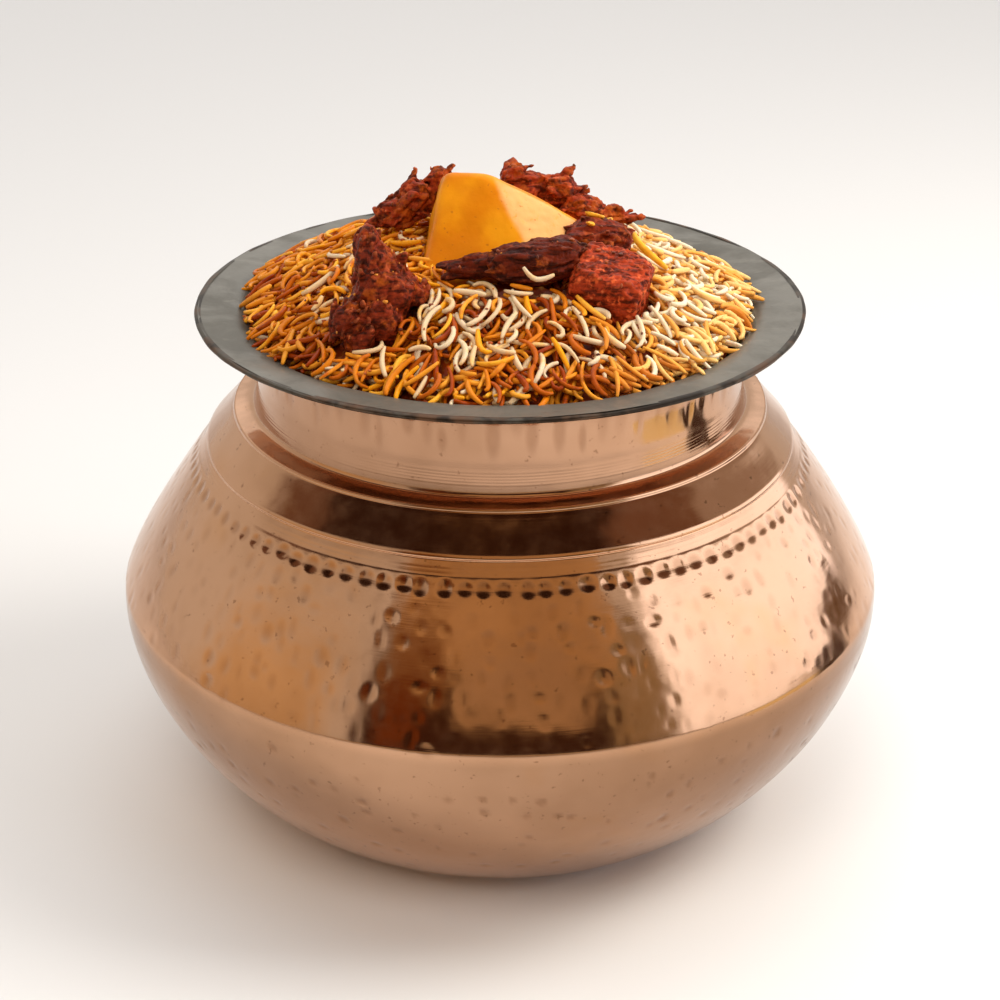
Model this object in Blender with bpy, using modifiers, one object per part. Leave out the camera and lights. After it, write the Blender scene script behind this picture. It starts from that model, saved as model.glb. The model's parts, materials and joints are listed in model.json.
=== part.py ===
"""A hammered copper handi heaped with biryani.

Metres, +Z up, the origin on the pot's axis in the plane it stands on, the front of the serving towards -Y.
"""

import math

import bmesh
import bpy
from mathutils import Euler, Vector, noise

COLLECTION = "biryani_handi"
CUTTERS = "cutters"

# The pot: radii and heights of its outer side, and its wall.
SEGMENTS = 44
WALL = 0.0015
RIM_RADIUS = 0.1030
RIM_HEIGHT = 0.1820
LIP_SECTION = ((-0.0009, 0.0), (0.0, -0.0006), (0.0, -0.0013), (-0.0008, -0.0017))
FLANGE_UNDERSIDE = ((0.0950, 0.1786), (0.0900, 0.1770), (0.0862, 0.1748), (0.0840, 0.1717))
NECK_TOP = (0.0825, 0.1670)
NECK_FOOT = (0.0835, 0.1540)
RING_STEP = (0.0860, 0.1501)
BRIGHT_STEP = (0.0902, 0.1478)
BAND_TOP = (0.0924, 0.1458)
COLLAR_EDGE = (0.1015, 0.1350)
COLLAR_UNDERCUT = (0.1009, 0.1336)
SHOULDER_TOP = (0.1024, 0.1322)
BELLY_RADIUS = 0.1333
BELLY_HEIGHT = 0.0768
SHOULDER_BOW = 1.18
SHOULDER_RINGS = 5
BASE_RADIUS = 0.0738
BOWL_FULLNESS = 1.44
BOWL_DEPTH_CURVE = 1.64
BOWL_RINGS = 7

# The rice: a gap to the pot, the foot of the heap on the flange and the height of its top.
GAP = 0.0003
HEAP_TOP = 0.2035
HEAP_FOOT_RADIUS = 0.0876
HEAP_LOW_SIDE_RADIUS = 0.0836
HEAP_FOOT_HEIGHT = 0.1802
HEAP_LOW_FOOT_HEIGHT = 0.1742
HEAP_LOW_SIDE = math.radians(22.0)
HEAP_LOW_SPREAD = math.radians(34.0)
HEAP_LOW_DROP = 0.0055
HEAP_CURVE = 2.6
HEAP_RINGS = 7
HEAP_UNEVEN = 0.0022
HEAP_GRAIN = 38.0
HEAP_EDGE = 0.0024
HEAP_EDGE_PLACE = 0.02
HEAP_FIRST_RISE = 0.02
HEAP_TO_NECK = 0.001
HEAP_CROWN = (0.002, 0.012)
HEAP_CROWN_HEIGHT = 0.0055
HEAP_CROWN_SPREAD = 0.024

# The pieces on top: centre, half sizes, turn in degrees, squareness, taper along X, lumps, seed.
PIECE_ROUNDS = 3
PIECE_GRAIN = 90.0
CLEARANCE = 0.00036
PIECES = {
    "potato": dict(
        centre=(0.0010, -0.0070, 0.2075), half=(0.0275, 0.0190, 0.0205), turn=(12, 4, -4),
        square=3.0, taper=0.46, lumps=0.0010, seed=3.1, food="potato", clear_of=()),
    "meat_left": dict(
        centre=(-0.0390, -0.0440, 0.1998), half=(0.0200, 0.0130, 0.0105), turn=(12, -52, 90),
        square=2.3, taper=0.50, lumps=0.0026, seed=7.7, food="meat", clear_of=()),
    "meat_left_low": dict(
        centre=(-0.0480, -0.0555, 0.1925), half=(0.0086, 0.0074, 0.0072), turn=(0, 20, 30),
        square=2.3, taper=0.15, lumps=0.0016, seed=11.3, food="meat", clear_of=("meat_left",)),
    "meat_front": dict(
        centre=(0.0045, -0.0350, 0.2082), half=(0.0205, 0.0075, 0.0074), turn=(0, -6, 4),
        square=2.5, taper=-0.50, lumps=0.0014, seed=2.4, food="meat", clear_of=("potato",)),
    "meat_cube": dict(
        centre=(0.0345, -0.0360, 0.1985), half=(0.0132, 0.0118, 0.0105), turn=(16, 12, -14),
        square=4.2, taper=0.10, lumps=0.0010, seed=5.9, food="meat", clear_of=("meat_front", "potato")),
    "meat_right_back": dict(
        centre=(0.0340, -0.0115, 0.2085), half=(0.0112, 0.0078, 0.0066), turn=(0, 10, 10),
        square=2.4, taper=0.20, lumps=0.0016, seed=9.2, food="meat", clear_of=("potato", "meat_cube")),
    "meat_back_right": dict(
        centre=(0.0210, 0.0165, 0.2115), half=(0.0250, 0.0100, 0.0080), turn=(0, 24, -16),
        square=2.3, taper=0.30, lumps=0.0034, seed=4.5, food="meat", clear_of=("potato", "meat_right_back")),
    "meat_back_left": dict(
        centre=(-0.0285, 0.0080, 0.2115), half=(0.0165, 0.0100, 0.0074), turn=(0, -36, 14),
        square=2.3, taper=-0.10, lumps=0.0032, seed=8.8, food="meat", clear_of=("potato",)),
}

LOOKS = {
    "copper": ((0.72, 0.38, 0.24, 1.0), 1.0, 0.28),
    "rice": ((0.82, 0.55, 0.22, 1.0), 0.0, 0.55),
    "potato": ((0.90, 0.55, 0.12, 1.0), 0.0, 0.45),
    "meat": ((0.22, 0.05, 0.02, 1.0), 0.0, 0.45),
}


def look(name):
    colour, metallic, roughness = LOOKS[name]
    material = bpy.data.materials.new(name)
    material.use_nodes = True
    shader = material.node_tree.nodes["Principled BSDF"]
    shader.inputs["Base Color"].default_value = colour
    shader.inputs["Metallic"].default_value = metallic
    shader.inputs["Roughness"].default_value = roughness
    material.diffuse_color = colour
    return material


def collection(name):
    made = bpy.data.collections.new(name)
    bpy.context.scene.collection.children.link(made)
    return made


def add_object(name, mesh, where, material=None):
    obj = bpy.data.objects.new(name, mesh)
    where.objects.link(obj)
    if material:
        mesh.materials.append(material)
    mesh.shade_smooth()
    return obj


def bowl_curve(share):
    """A point of the lower bowl, from the belly (0) down to the base (1)."""
    angle = share * math.pi / 2
    radius = BASE_RADIUS + (BELLY_RADIUS - BASE_RADIUS) * math.cos(angle) ** (2 / BOWL_FULLNESS)
    height = BELLY_HEIGHT * (1 - math.sin(angle) ** (2 / BOWL_DEPTH_CURVE))
    return radius, height


def shoulder_curve(share):
    """A point of the shoulder, from under the collar (0) down to the belly (1)."""
    radius = SHOULDER_TOP[0] + (BELLY_RADIUS - SHOULDER_TOP[0]) * (1 - (1 - share) ** SHOULDER_BOW)
    return radius, SHOULDER_TOP[1] + (BELLY_HEIGHT - SHOULDER_TOP[1]) * share


def outer_profile():
    """The pot's outer side below the rim, from the flange down to the base's edge."""
    points = list(FLANGE_UNDERSIDE)
    points += [NECK_TOP, NECK_FOOT, RING_STEP, BRIGHT_STEP, BAND_TOP, COLLAR_EDGE, COLLAR_UNDERCUT]
    points += [shoulder_curve(i / SHOULDER_RINGS) for i in range(SHOULDER_RINGS)]
    points += [bowl_curve(i / BOWL_RINGS) for i in range(BOWL_RINGS + 1)]
    return points


def inner_profile(inset):
    """The pot's inner side, the wall and a further inset in from the outer one, from the flange down."""
    points = outer_profile()
    points = [point for point in points if point not in (COLLAR_EDGE, RING_STEP, BAND_TOP, NECK_TOP)]
    moved = []
    for index, (radius, height) in enumerate(points):
        before = points[max(index - 1, 0)]
        after = points[min(index + 1, len(points) - 1)]
        along = Vector((after[0] - before[0], after[1] - before[1])).normalized()
        inward = Vector((along.y, -along.x))
        moved.append((radius + inward.x * inset, max(height + inward.y * inset, inset)))
    moved[-1] = (BASE_RADIUS - inset, inset)
    return moved


def turned(name, profile, where):
    """A body turned round Z from a profile of (radius, height) that ends on the axis at both ends."""
    mesh = bpy.data.meshes.new(name)
    points = [(radius, 0.0, height) for radius, height in profile]
    mesh.from_pydata(points, [(i, i + 1) for i in range(len(points) - 1)], [])
    obj = add_object(name, mesh, where)
    screw = obj.modifiers.new("turn", "SCREW")
    screw.axis = "Z"
    screw.angle = 2 * math.pi
    screw.steps = SEGMENTS
    screw.render_steps = SEGMENTS
    screw.use_merge_vertices = True
    screw.merge_threshold = 0.00005
    screw.use_smooth_shade = True
    return obj


def applied(obj):
    """The object's mesh with its modifiers in it."""
    bpy.context.view_layer.update()
    graph = bpy.context.evaluated_depsgraph_get()
    mesh = bpy.data.meshes.new_from_object(obj.evaluated_get(graph))
    obj.modifiers.clear()
    obj.data = mesh
    return mesh


def copper_pot(where):
    lip = [(RIM_RADIUS + out, RIM_HEIGHT + up) for out, up in LIP_SECTION]
    inside = [(0.0, WALL)] + inner_profile(WALL)[::-1]
    pot = turned("copper_pot", inside + lip + outer_profile() + [(0.0, 0.0)], where)
    applied(pot)
    pot.data.materials.append(look("copper"))


def low_side(angle):
    """How far the heap is down on its low side, 0 to 1, by the angle round Z."""
    off = math.remainder(angle - HEAP_LOW_SIDE, 2 * math.pi)
    return math.exp(-((off / HEAP_LOW_SPREAD) ** 2))


def heap_point(share, angle, foot_height):
    """A point of the heap's top, by its share of the way out to the foot and its angle."""
    low = low_side(angle)
    foot = HEAP_FOOT_RADIUS + (HEAP_LOW_SIDE_RADIUS - HEAP_FOOT_RADIUS) * low
    radius = foot * share
    x, y = radius * math.cos(angle), radius * math.sin(angle)
    rise = 1 - share ** HEAP_CURVE
    height = foot_height + (HEAP_TOP - foot_height) * rise
    height -= HEAP_LOW_DROP * low * math.sin(math.pi * share) ** 2
    off = math.hypot(x - HEAP_CROWN[0], y - HEAP_CROWN[1]) / HEAP_CROWN_SPREAD
    height += HEAP_CROWN_HEIGHT * math.exp(-off * off)
    height += HEAP_UNEVEN * rise * noise.noise(Vector((x, y, 0.0)) * HEAP_GRAIN)
    return x, y, height


def rice_heap(where):
    neck = HEAP_LOW_SIDE_RADIUS - HEAP_TO_NECK
    wall = [point for point in inner_profile(WALL + GAP) if point[1] < NECK_FOOT[1] or point[0] < neck][::-1]
    shares = [1 - i / HEAP_RINGS for i in range(HEAP_RINGS)]
    top = [(HEAP_FOOT_RADIUS * share, HEAP_LOW_FOOT_HEIGHT + HEAP_FIRST_RISE * (1 - share)) for share in shares]
    rice = turned("rice_heap", [(0.0, WALL + GAP)] + wall + top + [(0.0, HEAP_TOP)], where)
    mesh = applied(rice)
    for vertex in mesh.vertices:
        x, y, z = vertex.co
        radius = math.hypot(x, y)
        if z < HEAP_LOW_FOOT_HEIGHT - 1e-6:
            continue
        angle = math.atan2(y, x)
        share = min(radius / HEAP_FOOT_RADIUS, 1.0)
        low = low_side(angle)
        foot_height = HEAP_FOOT_HEIGHT + (HEAP_LOW_FOOT_HEIGHT - HEAP_FOOT_HEIGHT) * low
        edge = HEAP_EDGE * (0.5 + 0.5 * noise.noise(Vector((x, y, HEAP_EDGE_PLACE)) * HEAP_GRAIN))
        vertex.co = heap_point(share, angle, foot_height + edge * share)
    mesh.materials.append(look("rice"))
    return rice


def piece_mesh(name, sizes, grow):
    """A lump of food: a ball made square, tapered, roughened, turned and set in place."""
    half = Vector(sizes["half"])
    turn = Euler([math.radians(value) for value in sizes["turn"]]).to_matrix()
    build = bmesh.new()
    bmesh.ops.create_icosphere(build, subdivisions=PIECE_ROUNDS, radius=1.0)
    for vertex in build.verts:
        way = vertex.co.normalized()
        reach = sum(abs(value) ** sizes["square"] for value in way) ** (-1 / sizes["square"])
        point = Vector((way.x * half.x, way.y * half.y, way.z * half.z)) * reach
        narrow = 1 - sizes["taper"] * 0.5 * (1 + point.x / half.x)
        if sizes["taper"] < 0:
            narrow = 1 + sizes["taper"] * 0.5 * (1 - point.x / half.x)
        point.y *= narrow
        point.z *= narrow
        rough = noise.noise(point * PIECE_GRAIN + Vector((sizes["seed"],) * 3))
        point += way * sizes["lumps"] * rough
        vertex.co = turn @ point + Vector(sizes["centre"])
    build.normal_update()
    if grow:
        for vertex, normal in [(vertex, vertex.normal.copy()) for vertex in build.verts]:
            vertex.co += normal * grow
    mesh = bpy.data.meshes.new(name)
    build.to_mesh(mesh)
    build.free()
    return mesh


def cut(obj, cutter):
    boolean = obj.modifiers.new("gap", "BOOLEAN")
    boolean.operation = "DIFFERENCE"
    boolean.solver = "EXACT"
    boolean.object = cutter


def main():
    for obj in list(bpy.data.objects):
        bpy.data.objects.remove(obj, do_unlink=True)
    where = collection(COLLECTION)
    hidden = collection(CUTTERS)
    copper_pot(where)
    rice = rice_heap(where)
    looks = {"potato": look("potato"), "meat": look("meat")}
    cutters = {}
    for name, sizes in PIECES.items():
        cutter = add_object("gap_" + name, piece_mesh("gap_" + name, sizes, CLEARANCE), hidden)
        cutter.hide_render = True
        cutter.display_type = "WIRE"
        cutters[name] = cutter
        piece = add_object(name, piece_mesh(name, sizes, 0.0), where, looks[sizes["food"]])
        for other in sizes["clear_of"]:
            cut(piece, cutters[other])
        cut(rice, cutter)


main()
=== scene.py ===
import json
import math

import bmesh
import bpy
import numpy as np
from bpy.props import FloatProperty, FloatVectorProperty, IntProperty, PointerProperty
from mathutils import Euler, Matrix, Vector, noise

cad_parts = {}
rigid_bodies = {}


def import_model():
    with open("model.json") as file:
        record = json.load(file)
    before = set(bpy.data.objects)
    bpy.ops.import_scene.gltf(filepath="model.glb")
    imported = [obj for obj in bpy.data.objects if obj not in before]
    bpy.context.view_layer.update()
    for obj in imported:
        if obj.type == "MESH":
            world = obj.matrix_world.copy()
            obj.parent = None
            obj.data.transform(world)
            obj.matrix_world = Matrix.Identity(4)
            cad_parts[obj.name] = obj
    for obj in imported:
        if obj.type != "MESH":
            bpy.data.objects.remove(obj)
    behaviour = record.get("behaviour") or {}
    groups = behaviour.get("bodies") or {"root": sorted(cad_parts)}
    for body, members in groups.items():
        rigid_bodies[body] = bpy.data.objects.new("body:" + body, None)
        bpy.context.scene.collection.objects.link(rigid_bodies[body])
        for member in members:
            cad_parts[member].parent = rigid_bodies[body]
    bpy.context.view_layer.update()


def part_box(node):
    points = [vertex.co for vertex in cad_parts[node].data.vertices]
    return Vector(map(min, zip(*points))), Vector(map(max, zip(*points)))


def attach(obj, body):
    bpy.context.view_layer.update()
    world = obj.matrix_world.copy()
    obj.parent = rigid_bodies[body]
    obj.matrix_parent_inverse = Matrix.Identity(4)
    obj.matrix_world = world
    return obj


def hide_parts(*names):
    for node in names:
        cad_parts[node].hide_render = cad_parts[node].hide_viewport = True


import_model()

bl_info = {
    "name": "Biryani in a copper handi",
    "version": (1, 0, 0),
    "blender": (4, 5, 0),
    "location": "3D View > Sidebar > Handi",
    "description": "Builds a hammered copper handi heaped with biryani on a plain stage",
    "category": "Add Mesh",
}

POT_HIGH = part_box("copper_pot")[1]

# ---------------------------------------------------------------- settings


def length_setting(name, description, default):
    return FloatProperty(name=name, description=description, default=default, unit="LENGTH",
                         subtype="DISTANCE")


def colour_setting(name, description, default):
    return FloatVectorProperty(name=name, description=description, default=default, size=3, subtype="COLOR",
                               min=0.0, max=1.0)


class HandiSettings(bpy.types.PropertyGroup):
    """Sizes and colours of the pot."""

    rim_radius: length_setting("Rim radius", "Radius of the flange at its lip", 0.1030)
    rim_height: length_setting("Rim height", "Height of the lip above the base", POT_HIGH.z)
    belly_radius: length_setting("Belly radius", "Radius at the widest place", POT_HIGH.x)
    dent_depth: length_setting("Dent depth", "Depth of a full hammer mark on the shoulder", 0.00028)
    copper: colour_setting("Copper", "Colour of the polished copper", (0.640, 0.362, 0.215))
    tarnish: colour_setting("Tarnish", "Colour of the duller copper", (0.50, 0.270, 0.150))
    tin: colour_setting("Tin", "Colour of the tin lining", (0.143, 0.133, 0.110))
    worn_tin: colour_setting("Worn tin", "Colour of the smudges on the tin", (0.095, 0.088, 0.071))


class RiceSettings(bpy.types.PropertyGroup):
    """Sizes and colours of the rice."""

    grain_length: length_setting("Grain length", "Length of a cooked grain", 0.0120)
    grain_width: length_setting("Grain width", "Width of a cooked grain at its middle", 0.00195)
    grains: IntProperty(
        name="Grains", description="How many loose grains are dropped; those that find no room are left out",
        default=24000, min=100, max=40000)
    white: colour_setting("White grains", "Colour of the plain grains", (0.72, 0.565, 0.375))
    yellow: colour_setting("Yellow grains", "Colour of the saffron grains", (0.82, 0.32, 0.006))
    orange: colour_setting("Orange grains", "Colour of the grains steeped in masala", (0.62, 0.170, 0.003))
    brown: colour_setting("Brown grains", "Colour of the grains low in the heap", (0.29, 0.038, 0.001))


class ToppingSettings(bpy.types.PropertyGroup):
    """Colours of the meat and the potato."""

    potato_skin: colour_setting("Potato outside", "Colour of the stained outside", (0.66, 0.200, 0.0006))
    potato_cut: colour_setting("Potato cut", "Colour of the pale cut face", (0.80, 0.405, 0.140))
    meat: colour_setting("Meat", "Colour of the browned meat", (0.27, 0.030, 0.008))
    masala: colour_setting("Masala", "Colour of the masala paste and crumbs", (0.42, 0.080, 0.008))


class StageSettings(bpy.types.PropertyGroup):
    """Floor and light."""

    floor: colour_setting("Floor", "Colour of the plain floor", (0.78, 0.78, 0.78))
    key_power: FloatProperty(
        name="Key light", description="Power of the large soft light", default=9.5, unit="POWER")
    room_light: FloatProperty(
        name="Room light", description="Strength of the light from all round", default=1.0)


# ---------------------------------------------------------------- shape of the pot

# Outlines as radius and height, from the lip down the outside and along the base. FLANGE_TOP and LINING_NECK
# climb the inside instead.
FLANGE_UNDERSIDE = (
    (0.1022, 0.1803), (0.0960, 0.1796), (0.0905, 0.1788), (0.0868, 0.1770), (0.0844, 0.1735),
    (0.0830, 0.1680), (0.0829, 0.1600), (0.0834, 0.1556))
FLANGE_TOP = (
    (0.0812, 0.1600), (0.0813, 0.1670), (0.0822, 0.1726), (0.0842, 0.1771), (0.0874, 0.1798),
    (0.0915, 0.1809), (0.0965, 0.1814))
RINGS = (
    (0.0836, 0.1538), (0.0838, 0.1520), (0.0841, 0.1500), (0.0845, 0.1484), (0.0853, 0.1475),
    (0.0875, 0.1471))
BRIGHT_STEP = (0.0914, 0.1469)
STEP_SIDE = ((0.0918, 0.1465), (0.0919, 0.1457))
BAND_TOP = (0.0924, 0.1452)
BAND = ((0.0954, 0.1417), (0.0985, 0.1383))
COLLAR_EDGE = (0.1015, 0.1350)
COLLAR_TUCK = (0.1017, 0.1344)
COLLAR_UNDERCUT = (0.1012, 0.1338)
SHOULDER_TOP = (0.1023, 0.1323)
KEEL_HEIGHT = 0.0834
BELLY_HEIGHT = 0.0768
SHOULDER_BOW = 1.18
BASE_RADIUS = 0.0738
BASE_RADII = (0.0728, 0.060, 0.040, 0.020, 0.004)
BOWL_FULLNESS = 1.44
BOWL_DEPTH_CURVE = 1.64
LINING_NECK = ((0.0985, 0.1358), (0.0915, 0.1436), (0.0850, 0.1450), (0.0822, 0.1480), (0.0816, 0.1540))
WALL = 0.0015
LINING_FLOOR = ((0.0002, WALL), (0.030, WALL))
LIP = 0.0017
LIP_WIDE = 0.0016

# How far apart the rings of the copper's surface lie, and how many turns its grid has.
PLAIN_GAP = 0.0011
LINE_GAP = 0.00030
SHOULDER_GAP = 0.00068
BOWL_GAP = 0.00125
BASE_GAP = 0.010
TURNS = 720
TIN_TURNS = 288

# Marks beaten and turned into the copper. Places are distances along the outline.
DENT_FULL = 0.00025
NECK_MARKS = 74
NECK_MARK_PLACE = 0.68
NECK_MARK_WIDE = (0.0016, 0.0030)
NECK_MARK_TALL = (0.0048, 0.0085)
NECK_MARK_DEEP = (0.00012, 0.00034)
BEAD_RING_RADIUS = 0.1055
BEAD_PITCH = 0.0063
BEAD_DROP = 0.0062
BEAD_WIDE = (0.0024, 0.0029)
BEAD_TALL = (0.0024, 0.0031)
BEAD_DEEP = (1.10, 1.50)
SHOULDER_MARKS_START = 0.0130
SHOULDER_MARKS_STOP = 0.0035
SHOULDER_MARK_GAP = 0.0069
SHOULDER_MARK_PITCH = 0.0074
SHOULDER_MARK_SIZES = ((0.0014, 0.0028), (0.0020, 0.0042))
SHOULDER_MARK_DEEP = (0.10, 0.85)
SHOULDER_MARK_CHANCE = 0.88
BOWL_MARKS = (0.0075, 0.104)
BOWL_MARK_GAP = 0.0088
BOWL_MARK_PITCH = 0.0098
BOWL_MARK_SIZES = ((0.0011, 0.0022), (0.0012, 0.0025))
BOWL_MARK_DEEP = (0.00012, 0.00042)
BOWL_MARK_CHANCE = 0.60
NECK_LINES = (0.0002, 0.0012, 0.0022, 0.0032, 0.0042)
NECK_LINE_DEPTH = 0.000050
SHOULDER_LINES = (0.0009, 0.0020, 0.0031)
SHOULDER_LINE_DEPTH = 0.00016
LINE_WIDTH = 0.00027
KEEL_ROUND = 0.0012
KEEL_STANDS = 0.00010

# Slow waves of beaten metal: how closely they follow across and up, their shift and their height.
BEATEN_WAVES = ((70, 120, 0.3, 0.00010), (110, 60, 1.7, 0.00008), (190, 210, 2.9, 0.000045))

# Unevenness of the flange and of the lip: how many waves go round, their shift and their height.
FLANGE_WAVES = ((5, 0.4, 0.00014), (11, 1.9, 0.00010), (23, 0.8, 0.00006))
LIP_WAVES = ((7, 0.9, 0.00010), (19, 2.2, 0.00007), (41, 0.1, 0.00004))


def along(points, count):
    """Count points on a smooth curve through the given ones."""
    points = [Vector(point) for point in points]
    points = [2 * points[0] - points[1]] + points + [2 * points[-1] - points[-2]]
    out = []
    spans = len(points) - 3
    for step in range(count):
        place = step / (count - 1) * spans
        index = min(int(place), spans - 1)
        t = place - index
        a, b, c, d = points[index:index + 4]
        out.append(0.5 * (2 * b + (c - a) * t + (2 * a - 5 * b + 4 * c - d) * t * t
                          + (3 * b - a - 3 * c + d) * t ** 3))
    return out


def shoulder_curve(share, belly):
    """A point of the shoulder's outline, from the collar (0) to the keel (1)."""
    radius = SHOULDER_TOP[0] + (belly - SHOULDER_TOP[0]) * (1 - (1 - share) ** SHOULDER_BOW)
    return Vector((radius, SHOULDER_TOP[1] + (KEEL_HEIGHT - SHOULDER_TOP[1]) * share))


def bowl_curve(share, belly):
    """A point of the bowl's outline, from the belly (0) to the base (1)."""
    angle = share * math.pi / 2
    radius = BASE_RADIUS + (belly - BASE_RADIUS) * math.cos(angle) ** (2 / BOWL_FULLNESS)
    return Vector((radius, BELLY_HEIGHT * (1 - math.sin(angle) ** (2 / BOWL_DEPTH_CURVE))))


def spaced(points, gap):
    """The same line with points about gap apart."""
    points = np.array([tuple(point) for point in points])
    run = np.concatenate([[0.0], np.cumsum(np.hypot(*np.diff(points, axis=0).T))])
    want = np.linspace(0.0, run[-1], max(int(run[-1] / gap), 2) + 1)
    return np.stack([np.interp(want, run, points[:, 0]), np.interp(want, run, points[:, 1])], 1)


def line_normals(points):
    """Unit normals of a line that runs down the outer side, pointing outwards."""
    step = np.gradient(points, axis=0)
    step /= np.hypot(step[:, 0], step[:, 1])[:, None] + 1e-12
    return np.stack([-step[:, 1], step[:, 0]], 1)


def run_lengths(points):
    return np.concatenate([[0.0], np.cumsum(np.hypot(*np.diff(points, axis=0).T))])


def groove(run, centre, width, depth):
    """A fine turned line pressed into a profile."""
    return -depth * np.exp(-((run - centre) / width) ** 2)


class Dents:
    """Hammer marks pressed into a turned surface, as depths on its grid of rings and turns."""

    def __init__(self, points, turns):
        self.points = points
        self.turns = turns
        self.run = run_lengths(points)
        self.depth = np.zeros((len(points), turns))
        self.angles = np.arange(turns) / turns * 2 * math.pi

    def press(self, angle, place, half_wide, half_tall, depth, lean=0.0):
        radius = float(np.interp(place, self.run, self.points[:, 0]))
        rows = np.nonzero(np.abs(self.run - place) < half_tall * 1.05)[0]
        reach = int(half_wide * 1.3 / radius / (2 * math.pi) * self.turns) + 2
        middle = int(round(angle / (2 * math.pi) * self.turns))
        columns = np.arange(middle - reach, middle + reach + 1) % self.turns
        if not len(rows):
            return
        up = (self.run[rows] - place)[:, None]
        off = (self.angles[columns] - angle + math.pi) % (2 * math.pi) - math.pi
        side = off[None] * radius + lean * up
        near = (side / half_wide) ** 2 + (up / half_tall) ** 2
        bowl = depth * np.clip(1 - near, 0, None) ** 1.15
        patch = np.ix_(rows, columns)
        self.depth[patch] = np.maximum(self.depth[patch], bowl)


def pressed_rows(dents, random, start, end, gap, pitch, sizes, depths, chance, wander=0.16):
    """Rows of staggered marks round the pot between two places along its profile."""
    rows = max(int(round((end - start) / gap)), 1)
    for row in range(rows + 1):
        place = start + (end - start) * row / rows
        radius = float(np.interp(place, dents.run, dents.points[:, 0]))
        count = int(round(2 * math.pi * radius / pitch))
        shift = (row % 2) * 0.5 + random.uniform(-0.1, 0.1)
        for index in range(count):
            if random.uniform() > chance:
                continue
            angle = (index + shift + random.normal(0, wander)) / count * 2 * math.pi
            wide = random.uniform(*sizes[0])
            tall = random.uniform(*sizes[1])
            dents.press(angle, place + random.normal(0, wander) * gap, wide, tall,
                        random.uniform(*depths) * wide / sizes[0][1], random.uniform(-0.15, 0.15))


def ring_faces(rows, turns):
    """Quads between rows of points that each go once round Z, facing outwards when the rows run down."""
    row, column = np.meshgrid(np.arange(rows - 1), np.arange(turns), indexing="ij")
    after = (column + 1) % turns
    return np.stack([row * turns + column, (row + 1) * turns + column,
                     (row + 1) * turns + after, row * turns + after], -1).reshape(-1, 4).tolist()


def last_ring(rows, turns):
    """The face that closes the lowest row."""
    return list(range((rows - 1) * turns, rows * turns))[::-1]


def mesh_of(name, points, faces):
    mesh = bpy.data.meshes.new(name)
    mesh.from_pydata(points.tolist(), [], faces)
    mesh.update()
    return mesh


def point_values(mesh, name, values):
    """Keeps a number for each point of a mesh, for its material to read."""
    mesh.attributes.new(name, "FLOAT", "POINT").data.foreach_set("value", values.astype(np.float32).ravel())


def turned_mesh(name, points, normals, out, close_low=False):
    """A mesh of rings round Z: out is how far each grid point stands out along its normal."""
    rows, turns = out.shape
    angles = np.arange(turns) / turns * 2 * math.pi
    radius = points[:, 0][:, None] + normals[:, 0][:, None] * out
    height = points[:, 1][:, None] + normals[:, 1][:, None] * out
    xyz = np.stack([radius * np.cos(angles), radius * np.sin(angles), height], -1).reshape(-1, 3)
    faces = ring_faces(rows, turns)
    if close_low:
        faces.append(last_ring(rows, turns))
    return mesh_of(name, xyz, faces)


def linked(name, data):
    """A new object in the scene."""
    obj = bpy.data.objects.new(name, data)
    bpy.context.scene.collection.objects.link(obj)
    return obj


def piece(name, mesh, material, node_names):
    """An object of the model, riding on its body and standing for its CAD nodes."""
    obj = linked(name, mesh)
    mesh.materials.clear()
    mesh.materials.append(material)
    mesh.shade_smooth()
    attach(obj, "root")
    if node_names:
        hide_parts(*node_names)


# ---------------------------------------------------------------- materials


class Nodes:
    """A node tree being made: node() adds a node and plugs in or sets its sockets."""

    def __init__(self, tree):
        self.tree = tree

    def put(self, socket, value):
        if isinstance(value, bpy.types.NodeSocket):
            self.tree.links.new(value, socket)
        elif socket.type == "RGBA":
            socket.default_value = (*value, 1.0)
        else:
            socket.default_value = value

    def node(self, kind, sockets=None, **settings):
        made = self.tree.nodes.new("ShaderNode" + kind)
        for key, value in settings.items():
            setattr(made, key, value)
        for key, value in (sockets or {}).items():
            self.put(made.inputs[key], value)
        return made

    def ramp(self, value, low, high, start=0.0, end=1.0):
        """Start up to low and end from high on, with a smooth step between them."""
        return self.node("MapRange", {
            "Value": value, "From Min": low, "From Max": high, "To Min": start, "To Max": end},
            interpolation_type="SMOOTHSTEP").outputs[0]

    def mix(self, share, first, second, blend="MIX"):
        sockets = {0: share, 6: first, 7: second}
        return self.node("Mix", sockets, data_type="RGBA", blend_type=blend).outputs[2]

    def math(self, operation, first, second=0.0):
        return self.node("Math", {0: first, 1: second}, operation=operation).outputs[0]


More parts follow.
